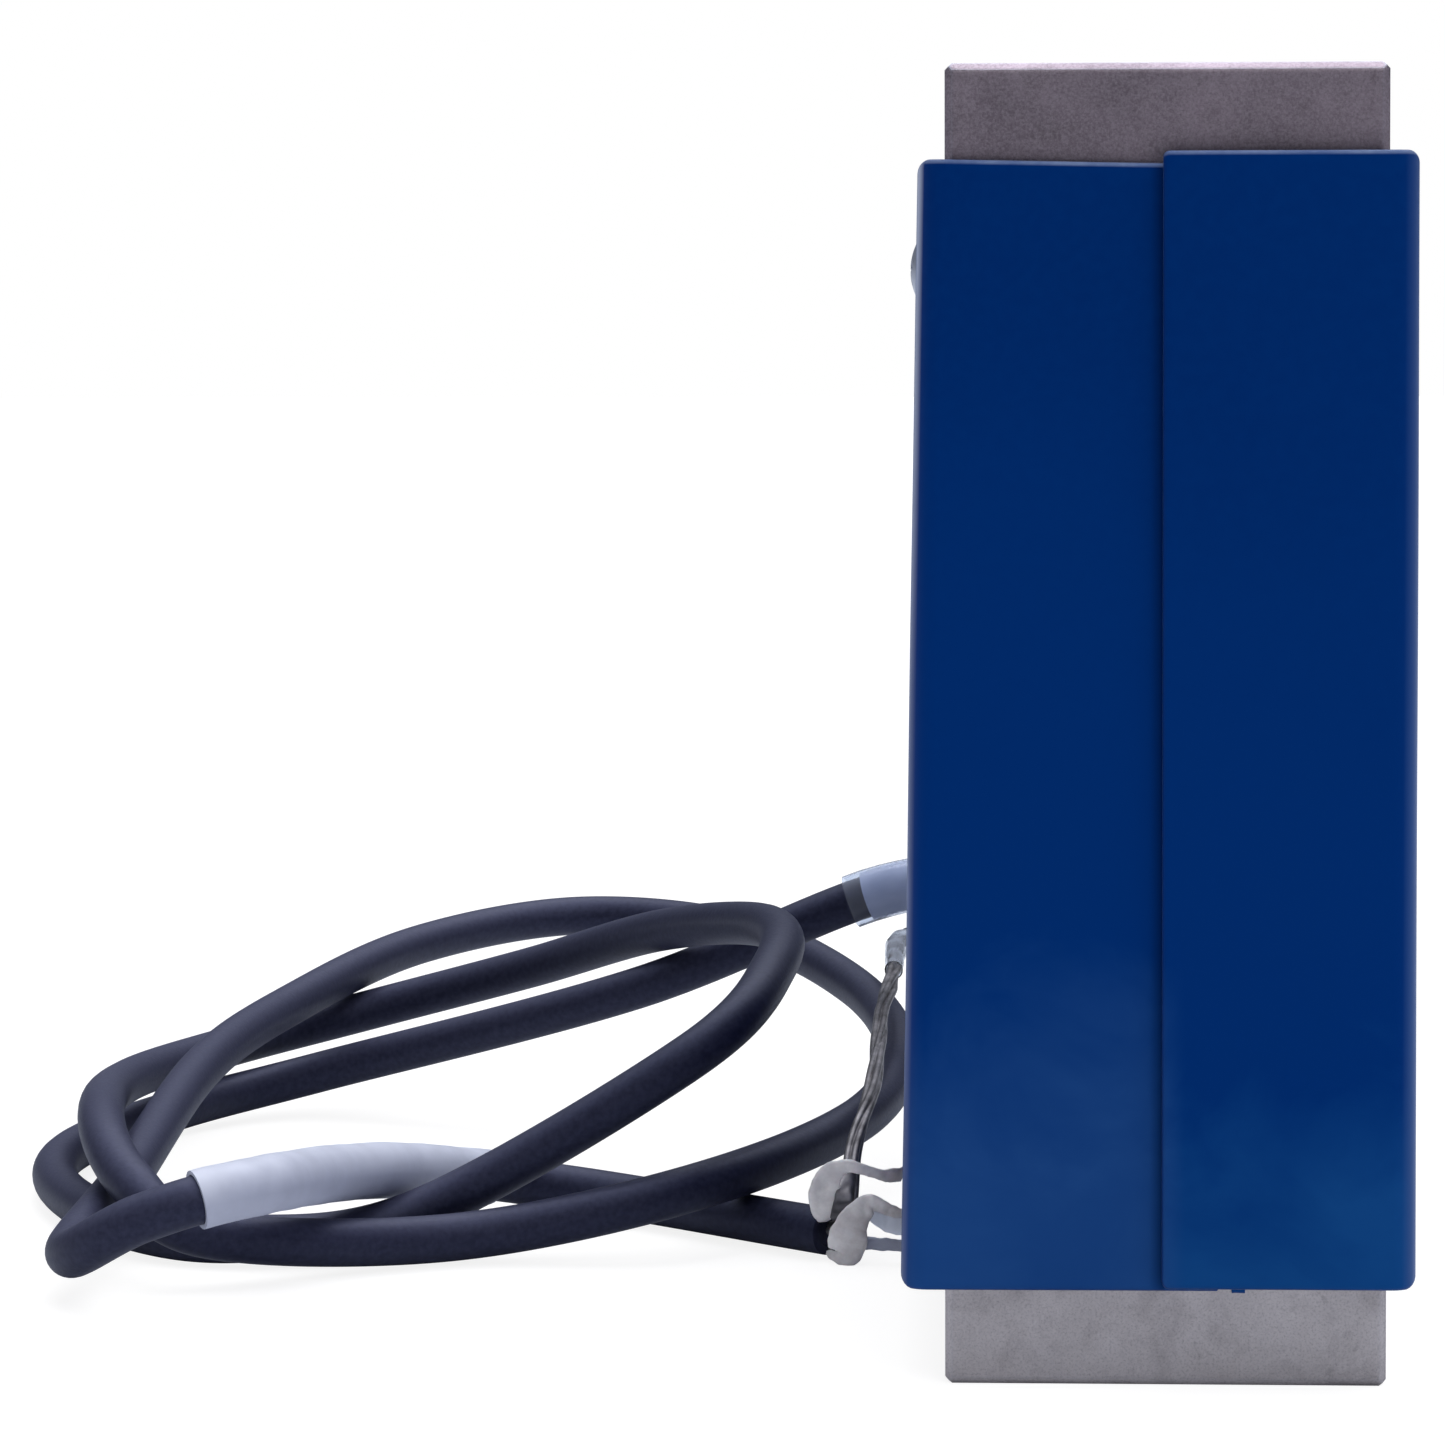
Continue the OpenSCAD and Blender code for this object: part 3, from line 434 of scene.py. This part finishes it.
def blue_paint():
    """Deep blue enamel on sheet, with a faint orange peel, a hazy foot that is partly a painted reflection
    of the floor, and painted highlights on the rims and front bends.
    """
    made, core = shader("blue_paint", Specular_IOR_Level=0.25, Specular_Tint=(0.02, 0.3, 1, 1),
                        Sheen_Weight=0.12, Sheen_Roughness=0.35, Sheen_Tint=(0.3, 0.5, 1, 1))
    g = Graph(made)
    ahead = g.spread(g.facing("Y"), -0.04, -0.25)
    # Broad tone, then a painted reflection of the floor that lightens it towards the foot
    broad = g.spread(g.noise(45, 4, 0.5, 0.4), 0.35, 0.65)
    fine = g.noise(1700, 2, 0.5)
    base = g.tint(broad, (0, 0.0175, 0.12), (0.0001, 0.021, 0.136))
    base = g.tint(g.spread(fine, 0.4, 0.65, 0, 0.14), base, (0.001, 0.035, 0.18))
    base = g.tint(g.spread(g.axis("Z"), 0.07, 0.03, 0, 1), base, (0.0002, 0.0225, 0.147))
    # Haze near the foot of the front, stronger on the left flap: partly a real haze on the paint, partly a
    # painted reflection of the floor
    cloud = g.spread(g.noise(75, 5, 0.6, 0.5), 0.36, 0.6, 0.7, 1)
    patch = g.times(cloud, g.spread(g.facing("Y"), -0.3, -0.85))
    right = g.spread(g.axis("X"), -0.0005, 0.001)
    drift = g.total(g.axis("Z"), g.spread(g.noise(95, 5, 0.62, 0.6), 0.3, 0.7, -0.004, 0.004))
    haze_and_reflection = g.times(g.spread(drift, 0.0235, 0.0125), patch)
    low_haze_and_reflection = g.times(g.spread(drift, 0.019, 0.009), patch)
    left_base_with_haze_and_reflection = g.tint(haze_and_reflection, base, (0.0135, 0.059, 0.216))
    base = g.tint(right, left_base_with_haze_and_reflection, g.tint(low_haze_and_reflection, base, (0.0055, 0.054, 0.212)))
    # Painted highlights along the front bends
    right_bend_highlight = g.times(g.spread(g.facing("X"), 0.4, 0.9), ahead)
    right_bend_highlight = g.times(right_bend_highlight, g.spread(g.axis("Z"), 0.07, 0.03, 0.55, 1))
    base = g.tint(right_bend_highlight, base, (0.028, 0.075, 0.23))
    left_bend_highlight = g.times(g.spread(g.facing("X"), -0.74, -0.94), g.spread(g.axis("X"), -0.006, -0.01))
    left_bend_highlight = g.times(g.times(left_bend_highlight, ahead), g.spread(g.axis("Z"), 0.04, 0.069, 0.2, 1))
    base = g.tint(left_bend_highlight, base, (0.38, 0.43, 0.58))
    # Shade beside the overlap's edge
    beside = g.times(g.spread(g.axis("X"), -0.001, -0.0003), g.spread(g.axis("X"), -0.00005, -0.0002))
    inner = g.times(g.spread(g.axis("Y"), -0.0275, -0.0272), g.spread(g.axis("Y"), -0.0255, -0.026))
    base = g.tint(g.times(g.times(beside, inner), 0.5), base, (0, 0.006, 0.055))
    # Painted highlight along the upward-facing rims, uneven along their length
    rim_unevenness = g.spread(g.noise(420, 4, 0.6), 0.38, 0.65, 0.55, 1)
    rim_highlight = g.times(g.spread(g.facing("Z"), 0.1, 0.4), rim_unevenness)
    base = g.tint(rim_highlight, base, (0.13, 0.175, 0.31))
    g.links.new(base, core.inputs["Base Color"])
    g.links.new(g.spread(g.noise(120, 4, 0.55, 0.4), 0.3, 0.7, 0.33, 0.38), core.inputs["Roughness"])
    g.bump(core, g.noise(900, 3, 0.55), 0.00002, 0.35)
    return made


def plated(name, first, second, low=0.22, high=0.36):
    """Plated or drawn metal: two close tints, uneven gloss and a fine grain."""
    made, core = shader(name, Metallic=1.0)
    g = Graph(made)
    base = g.tint(g.spread(g.noise(500, 4, 0.6), 0.35, 0.65), first, second)
    g.links.new(base, core.inputs["Base Color"])
    g.links.new(g.spread(g.noise(900, 4, 0.6), 0.3, 0.7, low, high), core.inputs["Roughness"])
    g.bump(core, g.noise(2500, 2, 0.5), 0.000008, 0.6, bevel=0.00015)
    return made


def moulded(name, first, second, low, high, scale=220, grain=2400, depth=0.00001, top_light=None, **constants):
    """Plastic or rubber: two close tints, uneven gloss, a fine grain, and painted light on the upward faces
    of the outer turns.
    """
    made, core = shader(name, **constants)
    g = Graph(made)
    base = g.tint(g.spread(g.noise(scale, 4, 0.6), 0.35, 0.65), first, second)
    # Painted light: the upward faces of the outer turns are tinted towards a lighter colour
    if top_light:
        uneven = g.spread(g.noise(scale, 3, 0.6), 0.3, 0.6, 0.6, 1)
        lit_top_share = g.times(g.spread(g.facing("Z"), -0.1, 0.9), uneven)
        lit_top_share = g.times(lit_top_share, g.spread(g.axis("X"), -0.028, -0.045))
        base = g.tint(lit_top_share, base, top_light)
    g.links.new(base, core.inputs["Base Color"])
    g.links.new(g.spread(g.noise(scale * 2, 4, 0.6), 0.3, 0.7, low, high), core.inputs["Roughness"])
    g.bump(core, g.noise(grain, 3, 0.6), depth, 0.7)
    return made


MATERIALS = {
    "beam_steel": beam_steel(),
    "blue_sheet": blue_paint(),
    "plated_steel": plated("plated_steel", (0.46, 0.48, 0.54), (0.56, 0.58, 0.64), 0.4, 0.52),
    "black_rubber": moulded("black_rubber", (0.014, 0.014, 0.015), (0.022, 0.022, 0.023), 0.6, 0.75),
    # The cable jacket is painted lighter on the upward faces of its outer turns
    "cable_jacket": moulded("cable_jacket", (0.0085, 0.0095, 0.024), (0.0185, 0.0205, 0.043), 0.46, 0.58,
                            scale=2600, grain=4200, depth=0.000018, top_light=(0.036, 0.038, 0.072),
                            Specular_IOR_Level=0.4, Specular_Tint=(0.6, 0.65, 1, 1)),
    "white_insulation": moulded("white_insulation", (0.66, 0.655, 0.7), (0.92, 0.91, 0.95), 0.3, 0.45,
                                scale=700, Subsurface_Weight=0.1, Subsurface_Scale=0.0003),
    "board_laminate": moulded("board_laminate", (0.012, 0.1, 0.03), (0.02, 0.14, 0.045), 0.3, 0.45),
    "resistor_body": moulded("resistor_body", (0.5, 0.36, 0.22), (0.58, 0.43, 0.27), 0.4, 0.55),
    "gauge_film": moulded("gauge_film", (0.5, 0.28, 0.05), (0.6, 0.36, 0.08), 0.3, 0.45),
    "lead_enamel": plated("lead_enamel", (0.45, 0.17, 0.07), (0.55, 0.24, 0.1)),
    "silicone": moulded("silicone", (0.62, 0.62, 0.58), (0.7, 0.7, 0.66), 0.35, 0.5),
    "wrap_film": moulded("wrap_film", (0.58, 0.565, 0.6), (0.88, 0.875, 0.92), 0.35, 0.5,
                         scale=520, grain=700, depth=0.00012,
                         Subsurface_Weight=0.1, Subsurface_Scale=0.0003),
    "thin_film": moulded("thin_film", (0.8, 0.84, 0.93), (0.9, 0.93, 1.0), 0.35, 0.5, scale=600,
                         Transmission_Weight=0.55, IOR=1.3),
    # The white plastic is painted lighter on its upward faces
    "white_plastic": moulded("white_plastic", (0.38, 0.415, 0.55), (0.45, 0.49, 0.64), 0.4, 0.55,
                             top_light=(0.68, 0.72, 0.87)),
    "clear_plastic": moulded("clear_plastic", (0.86, 0.9, 0.97), (0.93, 0.96, 1.0), 0.06, 0.14,
                             Transmission_Weight=0.97, IOR=1.35),
    "tinned_wire": plated("tinned_wire", (0.1, 0.094, 0.096), (0.25, 0.236, 0.24), 0.4, 0.55),
}
SLOT_OF = {sub["node"]: sub["material_slot"] for sub in frame["record"]["subparts"]}
for node_name, node in frame["nodes"].items():
    node.data.materials.clear()
    node.data.materials.append(MATERIALS[SLOT_OF[node_name]])


def keep(obj, slot, *replaced):
    """Rides obj on the body and hides the CAD nodes that it stands for; slot is not used."""
    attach(obj, BODY)
    if replaced:
        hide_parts(*replaced)
    return obj


# The signal cable and what is on it

def make_cords():
    r = CABLE_D / 2
    path = along(ROUTE, 0, len(ROUTE) - 1, 20)
    cable = keep(tube("cable_jacket", path, r * MM, 32, MATERIALS["cable_jacket"], 0.08),
                 "cable_jacket", "signal_cable")
    marker = keep(sleeve("marker_sleeve", along(ROUTE, *MARKER, 20), (r + 0.02) * MM, (r + 0.3) * MM, 28,
                         MATERIALS["white_plastic"], 0.00006, 0.00003), "white_plastic", "cable_marker")
    label = keep(sleeve("sleeve_inner_label", along(ROUTE, *LABEL, 14), (r + 0.02) * MM, (r + 0.28) * MM,
                        28, MATERIALS["white_plastic"]), "white_plastic", "sleeve_label")
    clear = keep(sleeve("clear_sleeve_skin", along(ROUTE, *CLEAR, 14), (r + 0.3) * MM, (r + 0.42) * MM,
                        28, MATERIALS["clear_plastic"], 0.00006, 0.00003), "clear_plastic", "clear_sleeve")
    upper = keep(flat_strip("white_wire_upper", WHITE_UPPER, 9, 20, MATERIALS["white_insulation"]),
                 "white_insulation", "white_core_upper")
    lower = keep(flat_strip("white_wire_lower", WHITE_LOWER, 8, 20, MATERIALS["white_plastic"]),
                 "white_insulation", "white_core_lower")
    tape = keep(flat_strip("wrap_fold", WRAP_LUMP, 8, 28, MATERIALS["wrap_film"]),
                "white_plastic", "end_tape")
    film = keep(flat_strip("wrap_edge", WRAP_FILM, 8, 20, MATERIALS["thin_film"]), "white_plastic")
    shield_path = along(SHIELD_ROUTE, 0, len(SHIELD_ROUTE) - 1, SHIELD_STEPS)
    seen_path = sagged(shield_path)
    shield = keep(twisted_wires(seen_path), "tinned_wire", "shield_wires")
    first, last = (round(t * SHIELD_STEPS) for t in SHIELD_TUBE)
    cover = keep(shrunk_tube(seen_path[first:last + 1]), "clear_plastic", "shield_tube")


def smooth(value, low, high):
    """0 at low, 1 at high, with a soft start and end."""
    share = min(1.0, max(0.0, (value - low) / (high - low)))
    return share * share * (3 - 2 * share)


def sagged(path):
    """The shield wires' path, leaning out to the left where they come out of their clear tube."""
    found = []
    for i, p in enumerate(path):
        t = i / SHIELD_STEPS
        lean = 0.45 * smooth(t, 4.5, 6) + 0.5 * smooth(t, 7, 8) - 0.95 * smooth(t, 8.6, 10)
        found.append(p - Vector((lean * MM, 0, 0)))
    return found


def twisted_wires(path):
    """Four strands round a fifth in a long loose twist, fanned out where they leave the cable."""
    turns = frames(path)
    walked = 0.0
    strands = [[] for _ in range(5)]
    for i, (point, turn) in enumerate(zip(path, turns)):
        if i:
            walked += (point - path[i - 1]).length
        angle = math.tau * walked / TWIST
        for k in range(5):
            off = 0.0 if k == 4 else 0.00034 * (1 + 0.4 * noise.noise(Vector((walked * 110, k * 3.1, 0))))
            a = angle + math.tau * k / 4 + 0.6 * noise.noise(Vector((walked * 90, 7 + k * 2.3, 0)))
            strands[k].append(point + turn[1] * off * math.cos(a) + turn[2] * off * math.sin(a))
    vertices, faces = [], []
    for k, strand in enumerate(strands):
        first = len(vertices)
        rings = [ring(p, t, 0.00027 - 0.00002 * (k % 3), 10) for p, t in zip(strand, frames(strand))]
        more, skin = join_rings(rings)
        vertices += more
        faces += [tuple(first + v for v in face) for face in skin]
    more, skin = strip_skin(SHIELD_ROOT, 8, 24)
    faces += [tuple(len(vertices) + v for v in face) for face in skin]
    return new_object("shield_strands", vertices + more, faces, MATERIALS["tinned_wire"], 60)


def shrunk_tube(path):
    """Clear tube shrunk and wrinkled on the shield wires, narrow at its lower end."""
    turns = frames(path)
    last = len(path) - 1
    rings = []
    for inner, order in ((0, range(last + 1)), (1, range(last, -1, -1))):
        for i in order:
            radius = (0.7 + 0.3 * smooth(i / last, 0, 0.55) - 0.1 * inner) * MM
            circle = ring(path[i], turns[i], radius, 24)
            rings.append([c + (c - path[i]).normalized() * 0.00022 * noise.noise(c * 700) for c in circle])
    vertices, faces = join_rings(rings, closed=True)
    return new_object("shield_clear_tube", vertices, faces, MATERIALS["clear_plastic"], 60)


def strip_skin(places, per_span, sides):
    """Vertices and faces of a flat strip swept through stations and crumpled all over."""
    middle = along([p[:3] for p in places], 0, len(places) - 1, per_span)
    sizes = along([(p[3], p[4], 0) for p in places], 0, len(places) - 1, per_span)
    rings = []
    for i, (p, size) in enumerate(zip(middle, sizes)):
        before, after = middle[max(i - 1, 0)], middle[min(i + 1, len(middle) - 1)]
        run = Vector((after.x - before.x, 0, after.z - before.z)).normalized()
        across = Vector((-run.z, 0, run.x))
        close = min(1.0, 0.5 + 0.2 * min(i, len(middle) - 1 - i))
        loop = []
        for k in range(sides):
            c, h = math.cos(math.tau * k / sides), math.sin(math.tau * k / sides)
            c, h = math.copysign(abs(c) ** 0.75, c), math.copysign(abs(h) ** 0.75, h)
            v = p + across * (size.x * c * close) + Vector((0, size.y * h * close, 0))
            fold = noise.noise(v * 900) + 0.5 * noise.noise(v * 2300)
            ridge = abs(noise.noise(v * 1100 + across)) - 0.3
            loop.append(v + (v - p).normalized() * fold * CRUMPLE * 0.7 + Vector((0, -ridge * CRUMPLE, 0)))
        rings.append(loop)
    return join_rings(rings)


def flat_strip(name, places, per_span, sides, material):
    vertices, faces = strip_skin(places, per_span, sides)
    return new_object(name, vertices, faces, material, 75)


make_cords()


# The wrapped sheet cover

def wrap_stations():
    """Stations round the wrap: (x, y, out x, out y, climb, foot, left wall share, half thickness)."""
    mid_r = BEND_R - SHEET_T / 2
    wall_x = SIDE_X + SHEET_T / 2
    inner_y = FRONT_Y + SHEET_T / 2
    outer_y = inner_y + SHEET_T + FLAP_GAP
    half = SHEET_T / 2

    def bend(x, y, start, climb, left):
        """Quarter turn of the sheet's middle round a bend's centre, clockwise from the start angle."""
        ways = [math.radians(start - 90 * k / 10) for k in range(11)]
        ways = [(math.cos(a), math.sin(a)) for a in ways]
        return [(x + mid_r * c, y + mid_r * s, c, s, climb, 0, left, half) for c, s in ways]

    # The inner flap's end, with the small notch in its foot
    foot = [(INNER_END, -0.1), (3.9, -0.08), (3.75, -0.1), (3.7, 0.18), (3.4, 0.2), (3.05, 0.19),
            (2.9, 0.02)]
    stations = [(x, -inner_y, 0, -1, 0, f, 0, half) for x, f in foot]
    stations += bend(-wall_x + mid_r, -inner_y + mid_r, 270, 0, 1)
    stations += bend(-wall_x + mid_r, inner_y - mid_r, 180, 0, 1)
    stations += bend(wall_x - mid_r, inner_y - mid_r, 90, 1, 0)
    stations += bend(wall_x - mid_r, -outer_y + mid_r, 0, 1, 0)
    # The outer flap's end, with a rounded edge
    edge = 0.25
    stations += [(x, -outer_y, 0, -1, 1, 0, 0, half) for x in (1.3, 1, 0.75, 0.6, 0.4, edge)]
    for turn in (22.5, 45, 67.5, 90):
        a = math.radians(turn)
        thin = half - edge * (1 - math.cos(a))
        stations.append((edge * (1 - math.sin(a)), -outer_y, 0, -1, 1, 0, 0, thin))
    filled = []
    for a, b in zip(stations, stations[1:]):
        gap = math.hypot(b[0] - a[0], b[1] - a[1])
        steps = max(1, int(gap / 2.5))
        filled += [tuple(p + (q - p) * k / steps for p, q in zip(a, b)) for k in range(steps)]
    return filled + [stations[-1]]


def sheet_loop(low, high, half):
    """Closed loop of the sheet's section: (offset across the sheet, height), with rounded cut edges."""
    r = min(RIM_R, half)
    o = half - r
    bottom, top = low + r, high - r
    rows = [bottom + (top - bottom) * k / 22 for k in range(1, 22)]
    side = [bottom, bottom + 0.15] + rows + [top - 0.15, top]
    arc = [math.radians(90 * k / 5) for k in range(1, 6)]
    loop = [(half, z) for z in side]
    loop += [(o + r * math.cos(a), high - r + r * math.sin(a)) for a in arc]
    loop += [(-o - r * math.sin(a), high - r + r * math.cos(a)) for a in arc]
    loop += [(-half, z) for z in side[::-1][1:]]
    loop += [(-o - r * math.cos(a), low + r - r * math.sin(a)) for a in arc]
    loop += [(o + r * math.sin(a), low + r - r * math.cos(a)) for a in arc[:-1]]
    return loop


def rounding(radius, x):
    """How far a corner rounded at x = 0 steps back at x."""
    return radius - math.sqrt(max(0.0, radius ** 2 - max(0.0, radius - max(0.0, x)) ** 2))


def make_cover():
    """The bent sheet, with rounded corners, a flared left wall and a hole round the gland."""
    stations = wrap_stations()
    seam_reach = 8
    rings = []
    for x, y, nx, ny, climb, foot, left, half in stations:
        on_outer_flap = climb > 0.99 and y < -FRONT_Y - SHEET_T and x < seam_reach
        loop = []
        low, high = COVER_LOW + climb * CLIMB_FOOT + foot, COVER_TOP + climb * CLIMB_TOP
        reach = SIDE_X + SHEET_T - abs(x + nx * half)
        near = min(1.0, (20 - y) / 46) if x < 0 else 1 - smooth(y, -25, -21)
        corner = rounding(CORNER_R, reach) * near
        low += corner
        high += LEFT_RISE * min(1.0, max(0.0, -x / 13)) * (1 - climb) - corner
        if on_outer_flap:
            low += rounding(0.4, x)
            high -= rounding(0.35, x)
        for o, z in sheet_loop(low, high, half):
            share = (z - COVER_LOW) / (COVER_TOP - COVER_LOW)
            shift = left * LEFT_FLARE * (1 - share)
            if on_outer_flap:
                shift -= OUTER_END * (seam_reach - x) / seam_reach
            wave = 0.035 * noise.noise(Vector((x, y, z)) * 0.06)
            loop.append(Vector((x + nx * (o + wave) - shift, y + ny * (o + wave), z)) * MM)
        rings.append(loop)
    vertices, faces = join_rings(rings)
    cover = new_object("cover_sheet", vertices, faces, MATERIALS["blue_sheet"], 30)
    place = Matrix.Translation(Vector((0, FRONT_Y + SHEET_T / 2, GLAND_Z)) * MM)
    hole = lathe("cutter", [(-3, 0), (-3, GLAND_HOLE_R), (3, GLAND_HOLE_R), (3, 0)], 64, None,
                 place @ Matrix.Rotation(math.pi / 2, 4, "Z"))
    carve(cover, [hole], 30)
    keep(cover, "blue_sheet", "wrap_cover")


make_cover()


# Cover screws: domed heads with a cross recess

def make_screw(name, node, side):
    """Domed screw seated where the CAD screw is; side is 1 on the right and -1 on the left."""
    low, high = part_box(node)
    seat = (high.x - HEAD_H * MM) if side > 0 else (low.x + HEAD_H * MM)
    centre = (Vector(low) + Vector(high)) / 2
    tip = -(high.x - low.x) / MM + HEAD_H
    dome = (HEAD_R ** 2 + HEAD_H ** 2) / (2 * HEAD_H)
    reach = math.asin(HEAD_R / dome)
    profile = [(tip, 0), (tip, SHANK_R), (0, SHANK_R), (0, HEAD_R - 0.05), (0.04, HEAD_R)]
    for k in range(1, 11):
        a = reach * (1 - k / 10)
        profile.append((HEAD_H - dome * (1 - math.cos(a)), dome * math.sin(a)))
    place = Matrix.Translation(Vector((seat, centre.y, centre.z)))
    if side < 0:
        place = place @ Matrix.Rotation(math.pi, 4, "Z")
    screw = lathe(name, profile, 64, MATERIALS["plated_steel"], place)
    turn = place @ Matrix.Rotation(math.radians(20), 4, "X")
    recess = [box_cutter((0.27, -1.0, -0.2), (1, 1.0, 0.2), turn),
              box_cutter((0.27, -0.2, -1.0), (1, 0.2, 1.0), turn)]
    carve(screw, recess)
    keep(screw, "plated_steel", node)


make_screw("screw_left", "cover_screw_left", -1)
make_screw("screw_right", "cover_screw_right", 1)


# Turns of the threads inside the two mounts

def make_thread(name, mouth_z, inward):
    """Helix of a thread's crest on the drilled wall, fading in and out at its ends."""
    per_turn = 40
    steps = int(THREAD_DEPTH / THREAD_PITCH * per_turn)
    root_r = THREAD_WALL_R + 0.03
    rings = []
    for i in range(steps + 1):
        a = math.tau * i / per_turn
        z = mouth_z + inward * (0.6 + THREAD_PITCH * i / per_turn)
        fade = min(1.0, i / 12, (steps - i) / 12)
        tip = THREAD_WALL_R - (THREAD_WALL_R - THREAD_TIP_R) * fade
        loop = [(root_r, -0.75), (tip, -0.12), (tip, 0.12), (root_r, 0.75)]
        rings.append([Vector((r * math.cos(a), r * math.sin(a), z + h)) * MM for r, h in loop])
    vertices, faces = join_rings(rings)
    keep(new_object(name, vertices, faces, MATERIALS["beam_steel"], 30), "beam_steel")


make_thread("thread_turns_upper", BEAM_H, -1)
make_thread("thread_turns_lower", 0, 1)


# Floor, background and light

def make_floor():
    """White ground that keeps a faint shadow, and looks a little bluer in the gloss of what stands on it."""
    glow, glow_share = 1.25, 0.68
    floor = new_object("floor", [(-3, -3, 0), (3, -3, 0), (3, 3, 0), (-3, 3, 0)], [(0, 1, 2, 3)])
    made = bpy.data.materials.new("floor")
    made.use_nodes = True
    nodes, links = made.node_tree.nodes, made.node_tree.links
    nodes.clear()
    out = nodes.new("ShaderNodeOutputMaterial")
    mix = nodes.new("ShaderNodeMixShader")
    plain = nodes.new("ShaderNodeBsdfDiffuse")
    table = nodes.new("ShaderNodeMix")
    table.data_type = "RGBA"
    table.inputs[6].default_value = (0.86, 0.86, 0.88, 1)
    table.inputs[7].default_value = (0.72, 0.77, 0.88, 1)
    links.new(table.outputs[2], plain.inputs["Color"])
    lit = nodes.new("ShaderNodeEmission")
    lit.inputs["Strength"].default_value = glow
    seen = nodes.new("ShaderNodeLightPath")
    links.new(seen.outputs["Is Glossy Ray"], table.inputs[0])
    share = nodes.new("ShaderNodeMath")
    share.operation = "MULTIPLY"
    share.inputs[1].default_value = glow_share
    links.new(seen.outputs["Is Camera Ray"], share.inputs[0])
    links.new(share.outputs[0], mix.inputs[0])
    links.new(plain.outputs[0], mix.inputs[1])
    links.new(lit.outputs[0], mix.inputs[2])
    links.new(mix.outputs[0], out.inputs["Surface"])
    floor.data.materials.append(made)


def make_world():
    """White for the camera and through clear plastic; gloss sees white behind and a dim room in front."""
    world = bpy.data.worlds.new("world")
    bpy.context.scene.world = world
    world.use_nodes = True
    nodes, links = world.node_tree.nodes, world.node_tree.links
    nodes.clear()
    out = nodes.new("ShaderNodeOutputWorld")
    back = nodes.new("ShaderNodeBackground")
    seen = nodes.new("ShaderNodeLightPath")
    way = nodes.new("ShaderNodeTexCoord")
    parts = nodes.new("ShaderNodeSeparateXYZ")
    links.new(way.outputs["Generated"], parts.inputs[0])
    gloss = nodes.new("ShaderNodeMath")
    gloss.operation = "MULTIPLY"
    ramps = (("Y", (-0.9, 0, 0.04, 1.0)), ("Z", (0.3, 0.95, 0.14, 1.6)))
    for socket, (axis, numbers) in zip(gloss.inputs, ramps):
        ramp = nodes.new("ShaderNodeMapRange")
        ramp.interpolation_type = "SMOOTHSTEP"
        for key, number in zip(("From Min", "From Max", "To Min", "To Max"), numbers):
            ramp.inputs[key].default_value = number
        links.new(parts.outputs[axis], ramp.inputs["Value"])
        links.new(ramp.outputs["Result"], socket)

    def choose(share, first, second):
        """The second value for the rays that share picks, and the first for the others."""
        made = nodes.new("ShaderNodeMix")
        made.data_type = "FLOAT"
        links.new(share, made.inputs[0])
        for socket, value in ((made.inputs[2], first), (made.inputs[3], second)):
            if isinstance(value, bpy.types.NodeSocket):
                links.new(value, socket)
            else:
                socket.default_value = value
        return made.outputs[0]

    strength = choose(seen.outputs["Is Glossy Ray"], 0.5, gloss.outputs[0])
    strength = choose(seen.outputs["Is Transmission Ray"], strength, 1.0)
    strength = choose(seen.outputs["Is Camera Ray"], strength, 1.0)
    daylight = nodes.new("ShaderNodeMix")
    daylight.data_type = "RGBA"
    daylight.inputs[6].default_value = (1, 1, 1, 1)
    daylight.inputs[7].default_value = (0.76, 0.83, 1, 1)
    links.new(seen.outputs["Is Glossy Ray"], daylight.inputs[0])
    links.new(daylight.outputs[2], back.inputs["Color"])
    links.new(strength, back.inputs["Strength"])
    links.new(back.outputs[0], out.inputs["Surface"])


def make_lamp(name, azimuth, elevation, strength, angle):
    """Soft distant lamp. Azimuth 0 is in front at -Y and 90 at +X."""
    data = bpy.data.lights.new(name, "SUN")
    data.energy = strength
    data.angle = math.radians(angle)
    lamp = bpy.data.objects.new(name, data)
    a, e = math.radians(azimuth), math.radians(elevation)
    source = Vector((math.sin(a) * math.cos(e), -math.cos(a) * math.cos(e), math.sin(e)))
    lamp.rotation_euler = source.to_track_quat("Z", "Y").to_euler()
    bpy.context.scene.collection.objects.link(lamp)


make_floor()
make_world()
make_lamp("top_lamp", 160, 72, 1.5, 60)
make_lamp("front_lamp", 30, 50, 0.7, 40)

bpy.context.scene.view_settings.view_transform = "Standard"
